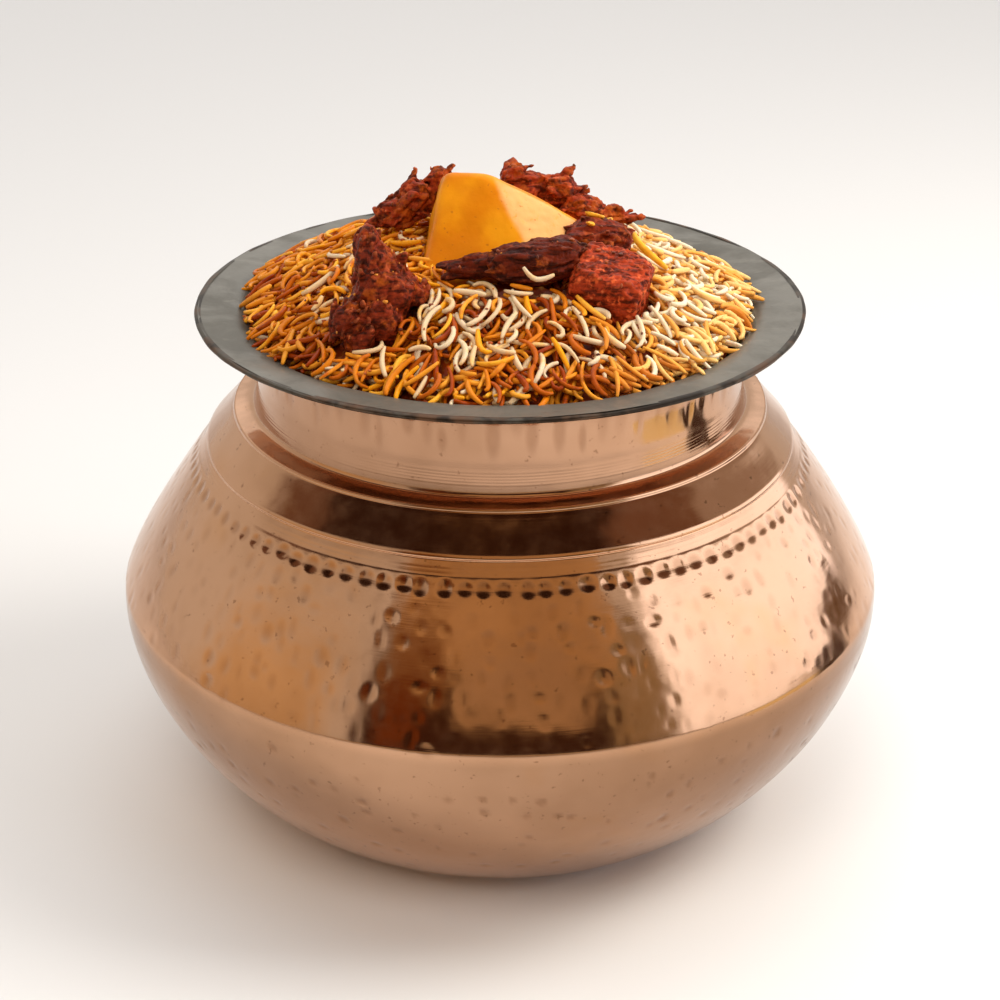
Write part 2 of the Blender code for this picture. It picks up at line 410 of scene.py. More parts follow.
class Shader(Nodes):
    """A material being made on its Principled shader."""

    def __init__(self, name):
        self.material = bpy.data.materials.new(name)
        self.material.use_nodes = True
        super().__init__(self.material.node_tree)

    def place(self, stretch=None, turn=(0.0, 0.0, 0.0)):
        where = self.node("TexCoord").outputs["Object"]
        if stretch is None:
            return where
        return self.node("Mapping", {"Vector": where, "Scale": stretch, "Rotation": turn}).outputs[0]

    def noise(self, scale, detail=3.0, rough=0.5, vector=None, lean=0.0):
        sockets = {"Scale": scale, "Detail": detail, "Roughness": rough, "Distortion": lean}
        sockets["Vector"] = vector or self.place()
        return self.node("TexNoise", sockets).outputs["Fac"]

    def stain(self, colour, tint, noise, low, high, most=1.0):
        """The colour with a tint laid over it where the noise (scale, detail, roughness) runs high."""
        return self.mix(self.ramp(self.noise(*noise), low, high, 0.0, most), colour, tint)

    def bump(self, height, distance, strength, normal=None):
        sockets = {"Height": height, "Distance": distance, "Strength": strength}
        if normal is not None:
            sockets["Normal"] = normal
        return self.node("Bump", sockets).outputs[0]

    def finish(self, **sockets):
        base = self.tree.nodes["Principled BSDF"]
        for key, value in sockets.items():
            self.put(base.inputs[key.replace("_", " ")], value)
        return self.material


def copper_material(settings):
    """Polished copper: duller in patches, darker in its dents as painted shade, darker below the keel with
    painted light on its left and painted shade on its right, warmer towards the base, cooler on the neck.
    """
    look = Shader("hammered copper")
    patches = look.ramp(look.noise(13.0, 4.0, 0.55), 0.38, 0.68)
    colour = look.mix(patches, settings.copper, settings.tarnish)
    colour = look.stain(colour, (0.60, 0.29, 0.115), (21.0, 3.0, 0.6), 0.56, 0.78, 0.55)
    colour = look.stain(colour, (0.20, 0.085, 0.04), (420.0, 2.0, 0.6), 0.66, 0.74, 0.5)
    dents = look.node("Attribute", attribute_name="dent").outputs["Fac"]
    # Painted shade: the copper is darkened in its hammer dents, the deeper the darker.
    colour = look.mix(look.math("MULTIPLY", dents, 0.42), colour, (0.30, 0.135, 0.065))
    axes = look.node("SeparateXYZ", {"Vector": look.place()}).outputs
    height = axes["Z"]
    above_keel = look.ramp(height, 0.0790, 0.0865)
    # Below the keel the left is lightened as painted light and the right darkened as painted shade.
    painted_side_light_and_shade = look.mix(look.ramp(axes["X"], -0.105, 0.105), (1.14, 1.15, 1.15), (0.76, 0.73, 0.70))
    colour = look.mix(1.0, colour, look.mix(above_keel, painted_side_light_and_shade, (1.0, 1.0, 1.0)), "MULTIPLY")
    tint = look.mix(above_keel, (0.70, 0.71, 0.72), (1.0, 1.0, 1.0))
    tint = look.mix(look.ramp(height, 0.015, 0.068), (1.0, 0.96, 0.84), tint)
    tint = look.mix(look.ramp(height, 0.1475, 0.1500), tint, (0.84, 0.86, 0.90))
    colour = look.mix(1.0, colour, tint, "MULTIPLY")
    rough = look.ramp(look.noise(160.0, 3.0, 0.6), 0.3, 0.75, 0.09, 0.16)
    rough = look.math("ADD", rough, look.math("MULTIPLY", patches, 0.05))
    turning = look.noise(1.0, 2.0, 0.6, look.place((30.0, 30.0, 2600.0)))
    normal = look.bump(turning, 0.00002, 0.5)
    normal = look.bump(look.noise(75.0, 2.0, 0.5), 0.0003, 0.55, normal)
    return look.finish(Base_Color=colour, Metallic=1.0, Roughness=rough, Normal=normal)


def tin_material(settings):
    """Wiped-on tin: grey, cloudy, with paler streaks and dark specks."""
    look = Shader("tin lining")
    clouds = look.ramp(look.noise(34.0, 5.0, 0.62, None, 0.6), 0.35, 0.70)
    colour = look.mix(clouds, settings.tin, settings.worn_tin)
    wiped = look.noise(60.0, 4.0, 0.7, look.place((1.0, 2.4, 1.0), (0.0, 0.0, 0.6)))
    colour = look.mix(look.ramp(wiped, 0.55, 0.72, 0.0, 0.6), colour, (0.19, 0.177, 0.148))
    colour = look.stain(colour, (0.09, 0.075, 0.06), (310.0, 2.0, 0.5), 0.68, 0.76, 0.55)
    rough = look.ramp(clouds, 0.0, 1.0, 0.36, 0.52)
    normal = look.bump(look.noise(95.0, 3.0, 0.5), 0.0003, 0.5)
    return look.finish(Base_Color=colour, Metallic=0.20, Roughness=rough, Normal=normal)


def lip_material():
    """The lip's edge, where the tin has worn through to brown copper."""
    look = Shader("worn lip")
    colour = look.stain((0.085, 0.072, 0.056), (0.12, 0.062, 0.034), (55.0, 4.0, 0.65), 0.42, 0.62)
    colour = look.stain(colour, (0.022, 0.015, 0.010), (90.0, 3.0, 0.6), 0.42, 0.60, 0.9)
    normal = look.bump(look.noise(240.0, 2.0), 0.0002, 0.5)
    return look.finish(Base_Color=colour, Metallic=0.8, Roughness=0.42, Normal=normal)


def grain_material(main, name, stain, pale, wet, sunlit, glow):
    """Cooked grain: each one a little paler or more stained than the next, paler at the right as painted
    light.
    """
    look = Shader(name)
    each = look.node("NewGeometry").outputs["Random Per Island"]
    colour = look.mix(look.ramp(each, 0.0, 1.0), main, pale)
    blotches = look.ramp(look.noise(190.0, 2.0, 0.5), 0.46, 0.66)
    again = look.math("FRACT", look.math("MULTIPLY", each, 7.13))
    amount = look.math("MULTIPLY", blotches, look.ramp(again, 0.25, 1.0))
    colour = look.mix(amount, colour, stain)
    side = look.node("SeparateXYZ", {"Vector": look.place()}).outputs["X"]
    # Painted light: grains towards the right are mixed with a paler tint.
    colour = look.mix(look.ramp(side, 0.020, 0.062, 0.0, 0.65), colour, sunlit)
    rough = look.ramp(look.noise(600.0, 1.0), 0.3, 0.7, wet - 0.08, wet + 0.08)
    normal = look.bump(look.noise(520.0, 2.0, 0.5), 0.00016, 0.5)
    return look.finish(Base_Color=colour, Roughness=rough, Normal=normal, Subsurface_Weight=glow,
                       Subsurface_Radius=(0.0022, 0.0012, 0.0006), Subsurface_Scale=1.0, IOR=1.42,
                       Specular_IOR_Level=0.28)


def core_material(settings):
    """The rice under the loose grains: steeped brown, and kept dark as painted shade under the grains, with
    orange bits.
    """
    look = Shader("rice core")
    # The dark brown stands partly for masala and partly for painted shade under the loose grains.
    colour = look.stain(settings.brown, (0.11, 0.010, 0.001), (55.0, 3.0, 0.6), 0.35, 0.65)
    colour = look.stain(colour, (0.42, 0.14, 0.012), (330.0, 2.0, 0.6), 0.52, 0.66)
    normal = look.bump(look.noise(420.0, 2.0), 0.0006, 0.8)
    return look.finish(Base_Color=colour, Roughness=0.5, Normal=normal)


def potato_material(settings):
    """Boiled potato, saffron-stained outside and pale where it is cut."""
    look = Shader("potato")
    cut = look.node("Attribute", attribute_name="cut").outputs["Fac"]
    ragged = look.math("MULTIPLY", look.noise(130.0, 3.0, 0.6), 0.5)
    fade = look.ramp(look.math("ADD", cut, ragged), 0.52, 0.92)
    skin = look.stain(settings.potato_skin, (0.80, 0.31, 0.004), (60.0, 3.0, 0.55), 0.35, 0.68)
    flesh = look.stain(settings.potato_cut, (0.80, 0.36, 0.075), (340.0, 3.0, 0.65), 0.56, 0.70, 0.8)
    colour = look.mix(fade, skin, flesh)
    colour = look.stain(colour, (0.45, 0.12, 0.01), (700.0, 1.0, 0.5), 0.70, 0.76, 0.6)
    rough = look.ramp(look.noise(90.0, 3.0), 0.35, 0.7, 0.34, 0.55)
    normal = look.bump(look.noise(300.0, 3.0, 0.6), 0.0004, 0.45)
    return look.finish(Base_Color=colour, Roughness=rough, Normal=normal, Subsurface_Weight=0.25,
                       Subsurface_Radius=(0.004, 0.002, 0.0008), Subsurface_Scale=1.0, IOR=1.34)


def meat_material(name, settings, fibres, paste, tone):
    """Browned meat: fibres along its length, painted shade in its creases, painted highlights on its raised
    parts and in lighter patches, masala in patches, moist.
    """
    look = Shader(name)
    tilt = Vector(fibres).to_track_quat("X", "Z").inverted().to_euler()
    fibre = look.noise(1.0, 4.0, 0.6, look.place((120.0, 620.0, 620.0), tuple(tilt)))
    # Between the fibres the colour falls to a fifth: fibre colour and painted shade in the creases.
    dark = tuple(value * 0.20 * tone for value in settings.meat)
    colour = look.mix(look.ramp(fibre, 0.38, 0.60), dark, tuple(value * tone for value in settings.meat))
    # Painted highlights: lighter orange-red patches from noise.
    colour = look.stain(colour, (0.58 * tone, 0.105 * tone, 0.030 * tone), (300.0, 3.0, 0.6), 0.54, 0.70, 0.8)
    colour = look.stain(colour, settings.masala, (120.0, 4.0, 0.65), 0.60 - paste * 0.22, 0.74 - paste * 0.18,
                        0.9)
    raised = look.node("NewGeometry").outputs["Pointiness"]
    # Painted shade: hollows (low pointiness) go nearly black.
    colour = look.mix(look.ramp(raised, 0.40, 0.50, 0.85, 0.0), colour, (0.035, 0.006, 0.003))
    # Painted highlight: raised edges (high pointiness) are lightened to orange-brown.
    painted_highlight = (0.55 * tone, 0.15 * tone, 0.05 * tone)
    colour = look.mix(look.ramp(raised, 0.52, 0.62, 0.0, 0.45), colour, painted_highlight)
    rough = look.ramp(look.noise(180.0, 3.0), 0.35, 0.7, 0.33, 0.60)
    normal = look.bump(look.math("ADD", fibre, look.noise(700.0, 4.0, 0.65)), 0.0006, 0.7)
    return look.finish(Base_Color=colour, Roughness=rough, Normal=normal, IOR=1.34,
                       Coat_Weight=0.06, Coat_Roughness=0.16, Specular_IOR_Level=0.20)


def crumb_material(settings):
    """Crumbs of masala: red-brown, nearly black and a few orange."""
    look = Shader("masala crumbs")
    each = look.node("NewGeometry").outputs["Random Per Island"]
    colour = look.mix(look.ramp(each, 0.1, 0.9), settings.masala, (0.10, 0.020, 0.006))
    colour = look.mix(look.ramp(each, 0.88, 0.92), colour, (0.62, 0.22, 0.02))
    normal = look.bump(look.noise(600.0, 3.0, 0.6), 0.0004, 0.8)
    return look.finish(Base_Color=colour, Roughness=0.36, Normal=normal, Coat_Weight=0.2)


def flake_material():
    """Thin yellow flakes of saffron-stained potato and onion."""
    look = Shader("saffron flakes")
    colour = look.stain((0.90, 0.47, 0.03), (0.80, 0.30, 0.012), (200.0,), 0.4, 0.65)
    return look.finish(Base_Color=colour, Roughness=0.34, Normal=look.bump(look.noise(500.0), 0.0002, 0.5))


def floor_material(settings):
    look = Shader("plain floor")
    clouds = look.ramp(look.noise(3.0, 2.0), 0.3, 0.7, 0.985, 1.0)
    return look.finish(Base_Color=look.mix(clouds, (0.74, 0.74, 0.74), settings.floor), Roughness=0.85)


# ---------------------------------------------------------------- the pot


class HANDI_OT_copper(bpy.types.Operator):
    """Beat out the copper outside: neck, collar, hammered shoulder, keel and bowl"""

    bl_idname = "handi.copper"
    bl_label = "Copper body"

    def execute(self, context):
        settings = context.scene.handi
        random = np.random.default_rng(41)
        belly, full = settings.belly_radius, settings.dent_depth
        copper = copper_material(settings)

        neck = spaced(along(FLANGE_UNDERSIDE, 60), PLAIN_GAP)
        lines = spaced(along((FLANGE_UNDERSIDE[-1], *RINGS, BRIGHT_STEP), 90), LINE_GAP)[1:]
        step = spaced([BRIGHT_STEP, *STEP_SIDE, BAND_TOP], LINE_GAP)[1:]
        band = spaced(along((BAND_TOP, *BAND, COLLAR_EDGE), 24), PLAIN_GAP)[1:]
        tuck = spaced([COLLAR_EDGE, COLLAR_TUCK, COLLAR_UNDERCUT, SHOULDER_TOP], LINE_GAP)[1:]
        fall = [shoulder_curve(index / 80, belly - 0.0004) for index in range(81)]
        fall += [(belly - 0.0001, KEEL_HEIGHT - 0.0016), (belly, (KEEL_HEIGHT + BELLY_HEIGHT) / 2)]
        fall += [(belly, BELLY_HEIGHT)]
        upper = spaced(fall, SHOULDER_GAP)[1:]
        points = np.concatenate([neck, lines, step, band, tuck, upper])
        dents = Dents(points, TURNS)
        run = dents.run
        neck_run = run[len(neck) - 1]
        upper_start = run[len(points) - len(upper)]
        keel_run = run[-1] - (KEEL_HEIGHT - BELLY_HEIGHT)

        for index in range(NECK_MARKS):
            angle = (index + random.normal(0, 0.22)) / NECK_MARKS * 2 * math.pi
            middle = neck_run * NECK_MARK_PLACE + random.normal(0, 0.0016)
            dents.press(angle, middle, random.uniform(*NECK_MARK_WIDE), random.uniform(*NECK_MARK_TALL),
                        random.uniform(*NECK_MARK_DEEP))
        beads = int(round(2 * math.pi * BEAD_RING_RADIUS / BEAD_PITCH))
        for index in range(beads):
            angle = (index + random.normal(0, 0.06)) / beads * 2 * math.pi
            middle = upper_start + BEAD_DROP + random.normal(0, 0.00022)
            dents.press(angle, middle, random.uniform(*BEAD_WIDE), random.uniform(*BEAD_TALL),
                        full * random.uniform(*BEAD_DEEP))
        pressed_rows(dents, random, upper_start + SHOULDER_MARKS_START, keel_run - SHOULDER_MARKS_STOP,
                     SHOULDER_MARK_GAP, SHOULDER_MARK_PITCH, SHOULDER_MARK_SIZES,
                     [full * share for share in SHOULDER_MARK_DEEP], SHOULDER_MARK_CHANCE, 0.20)

        relief = np.zeros(len(points))
        for offset in NECK_LINES:
            relief += groove(run, neck_run + offset, LINE_WIDTH, NECK_LINE_DEPTH)
        for offset in SHOULDER_LINES:
            relief += groove(run, upper_start + offset, LINE_WIDTH, SHOULDER_LINE_DEPTH)
        relief -= groove(run, keel_run, KEEL_ROUND, KEEL_STANDS)
        out = relief[:, None] - dents.depth + self.waves(points)
        shoulder = turned_mesh("copper_shoulder", points, line_normals(points), out)
        # The dent depths also set the painted shade in the copper's dents.
        point_values(shoulder, "dent", np.clip(dents.depth / DENT_FULL, 0, 1))
        piece("copper_shoulder", shoulder, copper, ("copper_pot",))

        low = spaced([bowl_curve(index / 120, belly) for index in range(121)], BOWL_GAP)
        base = spaced([tuple(low[-1])] + [(radius, 0.0) for radius in BASE_RADII], BASE_GAP)
        points = np.concatenate([low, base[1:]])
        dents = Dents(points, TURNS)
        pressed_rows(dents, random, *BOWL_MARKS, BOWL_MARK_GAP, BOWL_MARK_PITCH, BOWL_MARK_SIZES,
                     BOWL_MARK_DEEP, BOWL_MARK_CHANCE, 0.30)
        fade = np.clip((points[:, 1] - 0.001) / 0.004, 0, 1)[:, None]
        out = (self.waves(points) - dents.depth) * fade
        bowl = turned_mesh("copper_bowl", points, line_normals(points), out, close_low=True)
        # On the bowl the painted shade in the dents is doubled.
        point_values(bowl, "dent", np.clip(dents.depth * 2.0 / DENT_FULL, 0, 1))
        piece("copper_bowl", bowl, copper, ("copper_pot",))
        return {"FINISHED"}

    @staticmethod
    def waves(points):
        """The slow unevenness of hand-beaten metal."""
        angles = np.arange(TURNS) / TURNS * 2 * math.pi
        radius, height = points[:, 0][:, None], points[:, 1][:, None]
        x, y = radius * np.cos(angles), radius * np.sin(angles)
        waves = np.zeros((len(points), TURNS))
        for across, up, shift, size in BEATEN_WAVES:
            level = np.sin(x * across + shift) * np.sin(y * across * 0.9 + 2 * shift)
            waves += size * level * np.sin(height * up + 3 * shift)
        return waves


class HANDI_OT_tin(bpy.types.Operator):
    """Line the flange and the inside with tin, and roll the lip"""

    bl_idname = "handi.tin"
    bl_label = "Tin lining and lip"

    def execute(self, context):
        settings = context.scene.handi
        rim, top, belly = settings.rim_radius, settings.rim_height, settings.belly_radius
        inside = along(FLANGE_TOP + ((rim - 0.0012, top - 0.00005),), 44)
        deep = [bowl_curve(index / 16, belly) for index in range(17)][::-1]
        rise = [shoulder_curve(index / 10, belly) for index in range(10)][::-1]
        outer = np.array([tuple(point) for point in deep + rise])
        lining = np.maximum(outer - line_normals(outer[::-1])[::-1] * WALL, (0.0, WALL))
        points = np.concatenate([LINING_FLOOR, lining, LINING_NECK, [tuple(point) for point in inside]])[::-1]
        angles = np.arange(TIN_TURNS) / TIN_TURNS * 2 * math.pi
        wobble = np.zeros((len(points), TIN_TURNS))
        seen = (points[:, 0] > 0.084) & (points[:, 1] > 0.17)
        for count, shift, size in FLANGE_WAVES:
            wobble[seen] += size * np.sin(angles * count + shift + points[seen][:, :1] * 260)
        mesh = turned_mesh("tin_lining", points, -line_normals(points), wobble)
        mesh.flip_normals()
        piece("tin_lining", mesh, tin_material(settings), ("copper_pot",))

        bend = np.linspace(math.pi * 0.62, -math.pi * 0.75, 12)
        lip = np.stack([rim - LIP_WIDE + LIP_WIDE * np.cos(bend), top - LIP / 2 + LIP / 2 * np.sin(bend)], 1)
        out = np.zeros((len(lip), TIN_TURNS))
        for count, shift, size in LIP_WAVES:
            out += size * np.sin(angles * count + shift)
        mesh = turned_mesh("rolled_lip", lip, line_normals(lip), out)
        piece("rolled_lip", mesh, lip_material(), ("copper_pot",))
        return {"FINISHED"}


# ---------------------------------------------------------------- the heap

# The heap's outline: it stands a little lower and narrower at one side, and rises to a crown at the back.
HEAP_TOP = 0.2035
HEAP_FOOT_RADIUS = 0.0880
HEAP_LOW_SIDE_RADIUS = 0.0872
HEAP_LOW_SIDE = math.radians(22.0)
HEAP_LOW_SPREAD = math.radians(34.0)
HEAP_LOW_DROP = 0.0055
HEAP_CURVE = 2.6
HEAP_CROWN = (0.002, 0.012)
HEAP_CROWN_HEIGHT = 0.0055
HEAP_CROWN_SPREAD = 0.024
HOLLOW = (-0.010, -0.036)
HOLLOW_DEPTH = 0.0010
HOLLOW_SPREAD = 0.014
FOOT_HEIGHT = 0.1816
LOW_FOOT_HEIGHT = 0.1804
FRONT_RECEDES = 0.0026
FRONT_SPREAD = 0.75

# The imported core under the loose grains: its grid, how far its edge and top lie inside the heap, its side.
CORE_TURNS = 240
CORE_RINGS = 96
CORE_INSET = 0.0062
CORE_SUNK = 0.0064
CORE_SIDE = (
    (0.0770, 0.1660), (0.0795, 0.1560), (0.0860, 0.1430), (0.0985, 0.1300), (0.1150, 0.1050),
    (0.1305, 0.0800), (0.1280, 0.0600), (0.1120, 0.0330), (0.0900, 0.0120), (0.0700, 0.0025),
    (0.0300, 0.0020), (0.0010, 0.0020))


def heap_low(angle):
    """1 at the heap's low side, fading to 0 away from it."""
    off = (angle - HEAP_LOW_SIDE + math.pi) % (2 * math.pi) - math.pi
    return np.exp(-((off / HEAP_LOW_SPREAD) ** 2))


def heap_foot(angle):
    """Radius of the heap's foot, uneven."""
    edge = 0.0011 * np.sin(angle * 7 + 0.5) + 0.0008 * np.sin(angle * 17 + 2.0)
    front = FRONT_RECEDES * np.exp(-(((angle + math.pi / 2) / FRONT_SPREAD) ** 2))
    return HEAP_FOOT_RADIUS + (HEAP_LOW_SIDE_RADIUS - HEAP_FOOT_RADIUS) * heap_low(angle) + edge - front


def mound(x, y, at_x, at_y, spread, height):
    """A soft round rise."""
    return height * np.exp(-((x - at_x) ** 2 + (y - at_y) ** 2) / spread ** 2)


def heap_height(x, y):
    """Height of the heap's outer surface, on arrays."""
    angle = np.arctan2(y, x)
    low = heap_low(angle)
    share = np.clip(np.hypot(x, y) / heap_foot(angle), 0, 1)
    foot = FOOT_HEIGHT + (LOW_FOOT_HEIGHT - FOOT_HEIGHT) * low
    height = foot + (HEAP_TOP - foot) * (1 - share ** HEAP_CURVE)
    height = height - HEAP_LOW_DROP * low * np.sin(math.pi * share) ** 2
    height = height + mound(x, y, *HEAP_CROWN, HEAP_CROWN_SPREAD, HEAP_CROWN_HEIGHT)
    height = height - mound(x, y, *HOLLOW, HOLLOW_SPREAD, HOLLOW_DEPTH)
    lumps = 0.0012 * np.sin(x * 150 + 1.0) * np.sin(y * 130 + 0.4)
    lumps = lumps + 0.0007 * np.sin(x * 310) * np.sin(y * 290 + 2.0)
    return height + lumps * (1 - share ** 4)


def core_height(x, y, share):
    """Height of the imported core, a share of the way out to its edge."""
    return heap_height(x, y) - CORE_SUNK * (1 + 0.5 * share ** 4)


def flange_height(radius):
    """Height of the tin under a point outside the heap."""
    line = np.array(FLANGE_TOP[1:])
    return np.interp(radius, line[:, 0], line[:, 1])


class HANDI_OT_core(bpy.types.Operator):
    """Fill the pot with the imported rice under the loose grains"""

    bl_idname = "handi.core"
    bl_label = "Rice core"

    def execute(self, context):
        angles = np.arange(CORE_TURNS) / CORE_TURNS * 2 * math.pi
        rows = []
        for ring in range(CORE_RINGS):
            share = (ring + 0.5) / CORE_RINGS
            radius = (heap_foot(angles) - CORE_INSET) * share
            x, y = radius * np.cos(angles), radius * np.sin(angles)
            grainy = 0.0008 * np.sin(x * 900 + np.sin(y * 700)) * np.sin(y * 950 + np.sin(x * 640))
            rows.append(np.stack([x, y, core_height(x, y, share) + grainy], -1))
        for radius, height in CORE_SIDE:
            level = np.full(CORE_TURNS, height)
            rows.append(np.stack([radius * np.cos(angles), radius * np.sin(angles), level], -1))
        faces = ring_faces(len(rows), CORE_TURNS)
        faces += [list(range(CORE_TURNS)), last_ring(len(rows), CORE_TURNS)]
        mesh = mesh_of("rice_core", np.concatenate(rows), faces)
        piece("rice_core", mesh, core_material(context.scene.biryani_rice), ("rice_heap",))
        return {"FINISHED"}


# ---------------------------------------------------------------- potato and meat


# The potato is a block cut by planes: the way each faces and how far it lies from the middle. The first is
# the pale cut face. The higher POTATO_SHARP is, the sharper the edges between them.
POTATO_CENTRE = (0.0010, -0.0070, 0.2075)
POTATO_SHARP = 18
POTATO_PLANES = (
    ((0.42, -0.60, 0.68), 0.0158), ((-0.10, -0.83, 0.55), 0.0160), ((0.10, 0.45, 0.89), 0.0168),
    ((-0.97, 0.00, 0.24), 0.0238), ((0.95, -0.10, -0.05), 0.0285), ((0.47, 0.25, 0.85), 0.0152),
    ((0.60, 0.70, 0.40), 0.0185), ((0.0, 0.95, 0.30), 0.0175), ((0.0, 0.0, -1.0), 0.0160),
    ((0.2, -0.6, -0.77), 0.0190), ((-0.6, 0.6, -0.5), 0.0200))


def ball(subdivisions):
    """Unit directions and faces of an even ball."""
    build = bmesh.new()
    bmesh.ops.create_icosphere(build, subdivisions=subdivisions, radius=1.0)
    ways = np.array([vertex.co.normalized()[:] for vertex in build.verts])
    faces = [[vertex.index for vertex in face.verts] for face in build.faces]
    build.free()
    return ways, faces


def rounded_block(ways, half, square):
    """Points of a block with softened edges: the higher square is, the sharper."""
    reach = (np.abs(ways) ** square).sum(1) ** (-1 / square)
    return ways * reach[:, None] * np.array(half)


def rough(points, scale, size, seed):
    """Noise at each point, as an array."""
    shift = Vector((seed, seed * 1.7, seed * 0.6))
    return size * np.array([noise.noise(Vector(point) * scale + shift) for point in points])


def placed(points, turn, centre):
    """Points turned by angles in degrees and set at a centre."""
    matrix = np.array(Euler([math.radians(value) for value in turn]).to_matrix())
    return points @ matrix.T + np.array(centre)


class HANDI_OT_potato(bpy.types.Operator):
    """Set the wedge of potato on the heap"""

    bl_idname = "handi.potato"
    bl_label = "Potato"

    def execute(self, context):
        ways, faces = ball(6)
        reach = [ways @ np.array(Vector(facing).normalized()) / far for facing, far in POTATO_PLANES]
        powers = np.clip(np.stack(reach, 1), 0, None) ** POTATO_SHARP
        whole = powers.sum(1)
        cut = powers[:, 0] / whole
        points = ways * (whole ** (-1 / POTATO_SHARP))[:, None]
        uneven = rough(points, 95, 0.0007, 2.0) + rough(points, 420, 0.00020, 5.0) * (0.3 + cut)
        points += ways * uneven[:, None] + np.array(POTATO_CENTRE)
        mesh = mesh_of("potato_wedge", points, faces)
        point_values(mesh, "cut", cut)
        piece("potato_wedge", mesh, potato_material(context.scene.biryani_toppings), ("potato",))
        return {"FINISHED"}


# Each piece of meat: its lumps (centre, half sizes, turn in degrees, squareness), which way its fibres run,
# how many shreds and knobs lie on it, how wildly the shreds turn, how much masala clings to it, how light it
# is, how torn its surface is, and the seed of its random draws.
MEATS = {
    "meat_left": dict(
        lumps=(((-0.0408, -0.0425, 0.2085), (0.0050, 0.0056, 0.0140), (6, -6, 20), 2.2),
               ((-0.0355, -0.0440, 0.2080), (0.0100, 0.0050, 0.0048), (0, 48, 0), 3.0),
               ((-0.0372, -0.0460, 0.1990), (0.0094, 0.0076, 0.0110), (0, 28, -12), 4.0),
               ((-0.0310, -0.0460, 0.2020), (0.0090, 0.0046, 0.0036), (0, 24, 6), 3.0),
               ((-0.0378, -0.0525, 0.1925), (0.0072, 0.0058, 0.0085), (18, 6, 0), 2.4)),
        fibres=(0.25, -0.25, 1.0), shreds=60, knobs=6, wild=0.16, paste=0.22, tone=0.78, torn=1.3, seed=7),
    "meat_front": dict(
        lumps=(((0.0105, -0.0370, 0.2078), (0.0145, 0.0066, 0.0060), (0, -4, 4), 3.0),
               ((0.0165, -0.0345, 0.2098), (0.0095, 0.0058, 0.0048), (0, -8, 0), 2.6),
               ((-0.0060, -0.0352, 0.2058), (0.0110, 0.0042, 0.0034), (0, -7, -2), 2.6)),
        fibres=(1.0, 0.0, 0.08), shreds=46, knobs=2, wild=0.12, paste=0.04, tone=0.44, torn=1.3, seed=2),
    "meat_cube": dict(
        lumps=(((0.0350, -0.0365, 0.1990), (0.0121, 0.0107, 0.0098), (16, 12, -14), 9.0),),
        fibres=(0.30, -0.45, 0.85), shreds=4, knobs=0, wild=0.10, paste=0.02, tone=1.55, torn=1.3, seed=5),
    "meat_right_back": dict(
        lumps=(((0.0330, -0.0115, 0.2075), (0.0110, 0.0070, 0.0056), (0, 10, 10), 2.4),
               ((0.0270, -0.0160, 0.2085), (0.0060, 0.0050, 0.0040), (0, 0, 30), 2.2)),
        fibres=(1.0, 0.2, 0.0), shreds=30, knobs=10, wild=0.30, paste=0.30, tone=0.75, torn=1.2, seed=9),
    "meat_back_right": dict(
        lumps=(((0.0045, 0.0175, 0.2190), (0.0042, 0.0048, 0.0056), (0, 0, 0), 2.2),
               ((0.0110, 0.0165, 0.2152), (0.0085, 0.0062, 0.0052), (0, 20, 0), 2.2),
               ((0.0205, 0.0140, 0.2150), (0.0058, 0.0050, 0.0054), (0, 0, 0), 2.2),
               ((0.0280, 0.0110, 0.2100), (0.0072, 0.0052, 0.0046), (0, 10, 0), 2.2),
               ((0.0385, 0.0085, 0.2082), (0.0070, 0.0028, 0.0018), (0, 10, 0), 2.2)),
        fibres=(1.0, 0.2, 0.2), shreds=46, knobs=80, wild=0.45, paste=0.50, tone=1.15, torn=1.6, seed=14),
    "meat_back_left": dict(
        lumps=(((-0.0205, 0.0100, 0.2192), (0.0040, 0.0046, 0.0054), (0, 0, 0), 2.2),
               ((-0.0275, 0.0085, 0.2145), (0.0064, 0.0056, 0.0058), (0, 0, 0), 2.2),
               ((-0.0355, 0.0055, 0.2098), (0.0060, 0.0050, 0.0048), (0, 0, 0), 2.2)),
        fibres=(0.6, 0.2, 0.6), shreds=40, knobs=60, wild=0.45, paste=0.50, tone=1.10, torn=1.6, seed=8),
    "meat_left_low": dict(
        lumps=(((-0.0470, -0.0540, 0.1940), (0.0058, 0.0050, 0.0062), (0, 20, 0), 2.3),
               ((-0.0440, -0.0565, 0.1888), (0.0050, 0.0046, 0.0052), (0, 0, 0), 2.3)),
        fibres=(0.3, 0.0, 1.0), shreds=40, knobs=16, wild=0.4, paste=0.25, tone=0.66, torn=1.6, seed=11),
}


# Half lengths and half widths of the shreds and of the knobs, and how finely the lumps are joined.
SHRED_SIZE = ((0.0026, 0.0056), (0.0009, 0.0016))
KNOB_SIZE = ((0.0007, 0.0016), (0.0007, 0.0014))
KNOBS_WILD = 2.0
SKIN_VOXEL = 0.00040


def clinging(random, lumps, count, fibres, wild, long, thick):
    """Shreds or knobs set into the surface of the lumps, leaning along the fibres."""
    out = []
    for _ in range(count):
        centre, half, turn, square = lumps[random.integers(len(lumps))]
        way = random.normal(size=(1, 3))
        way /= np.linalg.norm(way)
        at = placed(rounded_block(way, half, square) * 0.93, turn, centre)[0]
        heading = Vector(fibres).normalized() + Vector(random.normal(0, wild, 3))
        lean = [math.degrees(value) for value in heading.to_track_quat("X", "Z").to_euler()]
        size = random.uniform(*thick)
        out.append((at, (random.uniform(*long), size, size * random.uniform(0.6, 1.0)), lean, 2.0))
    return out


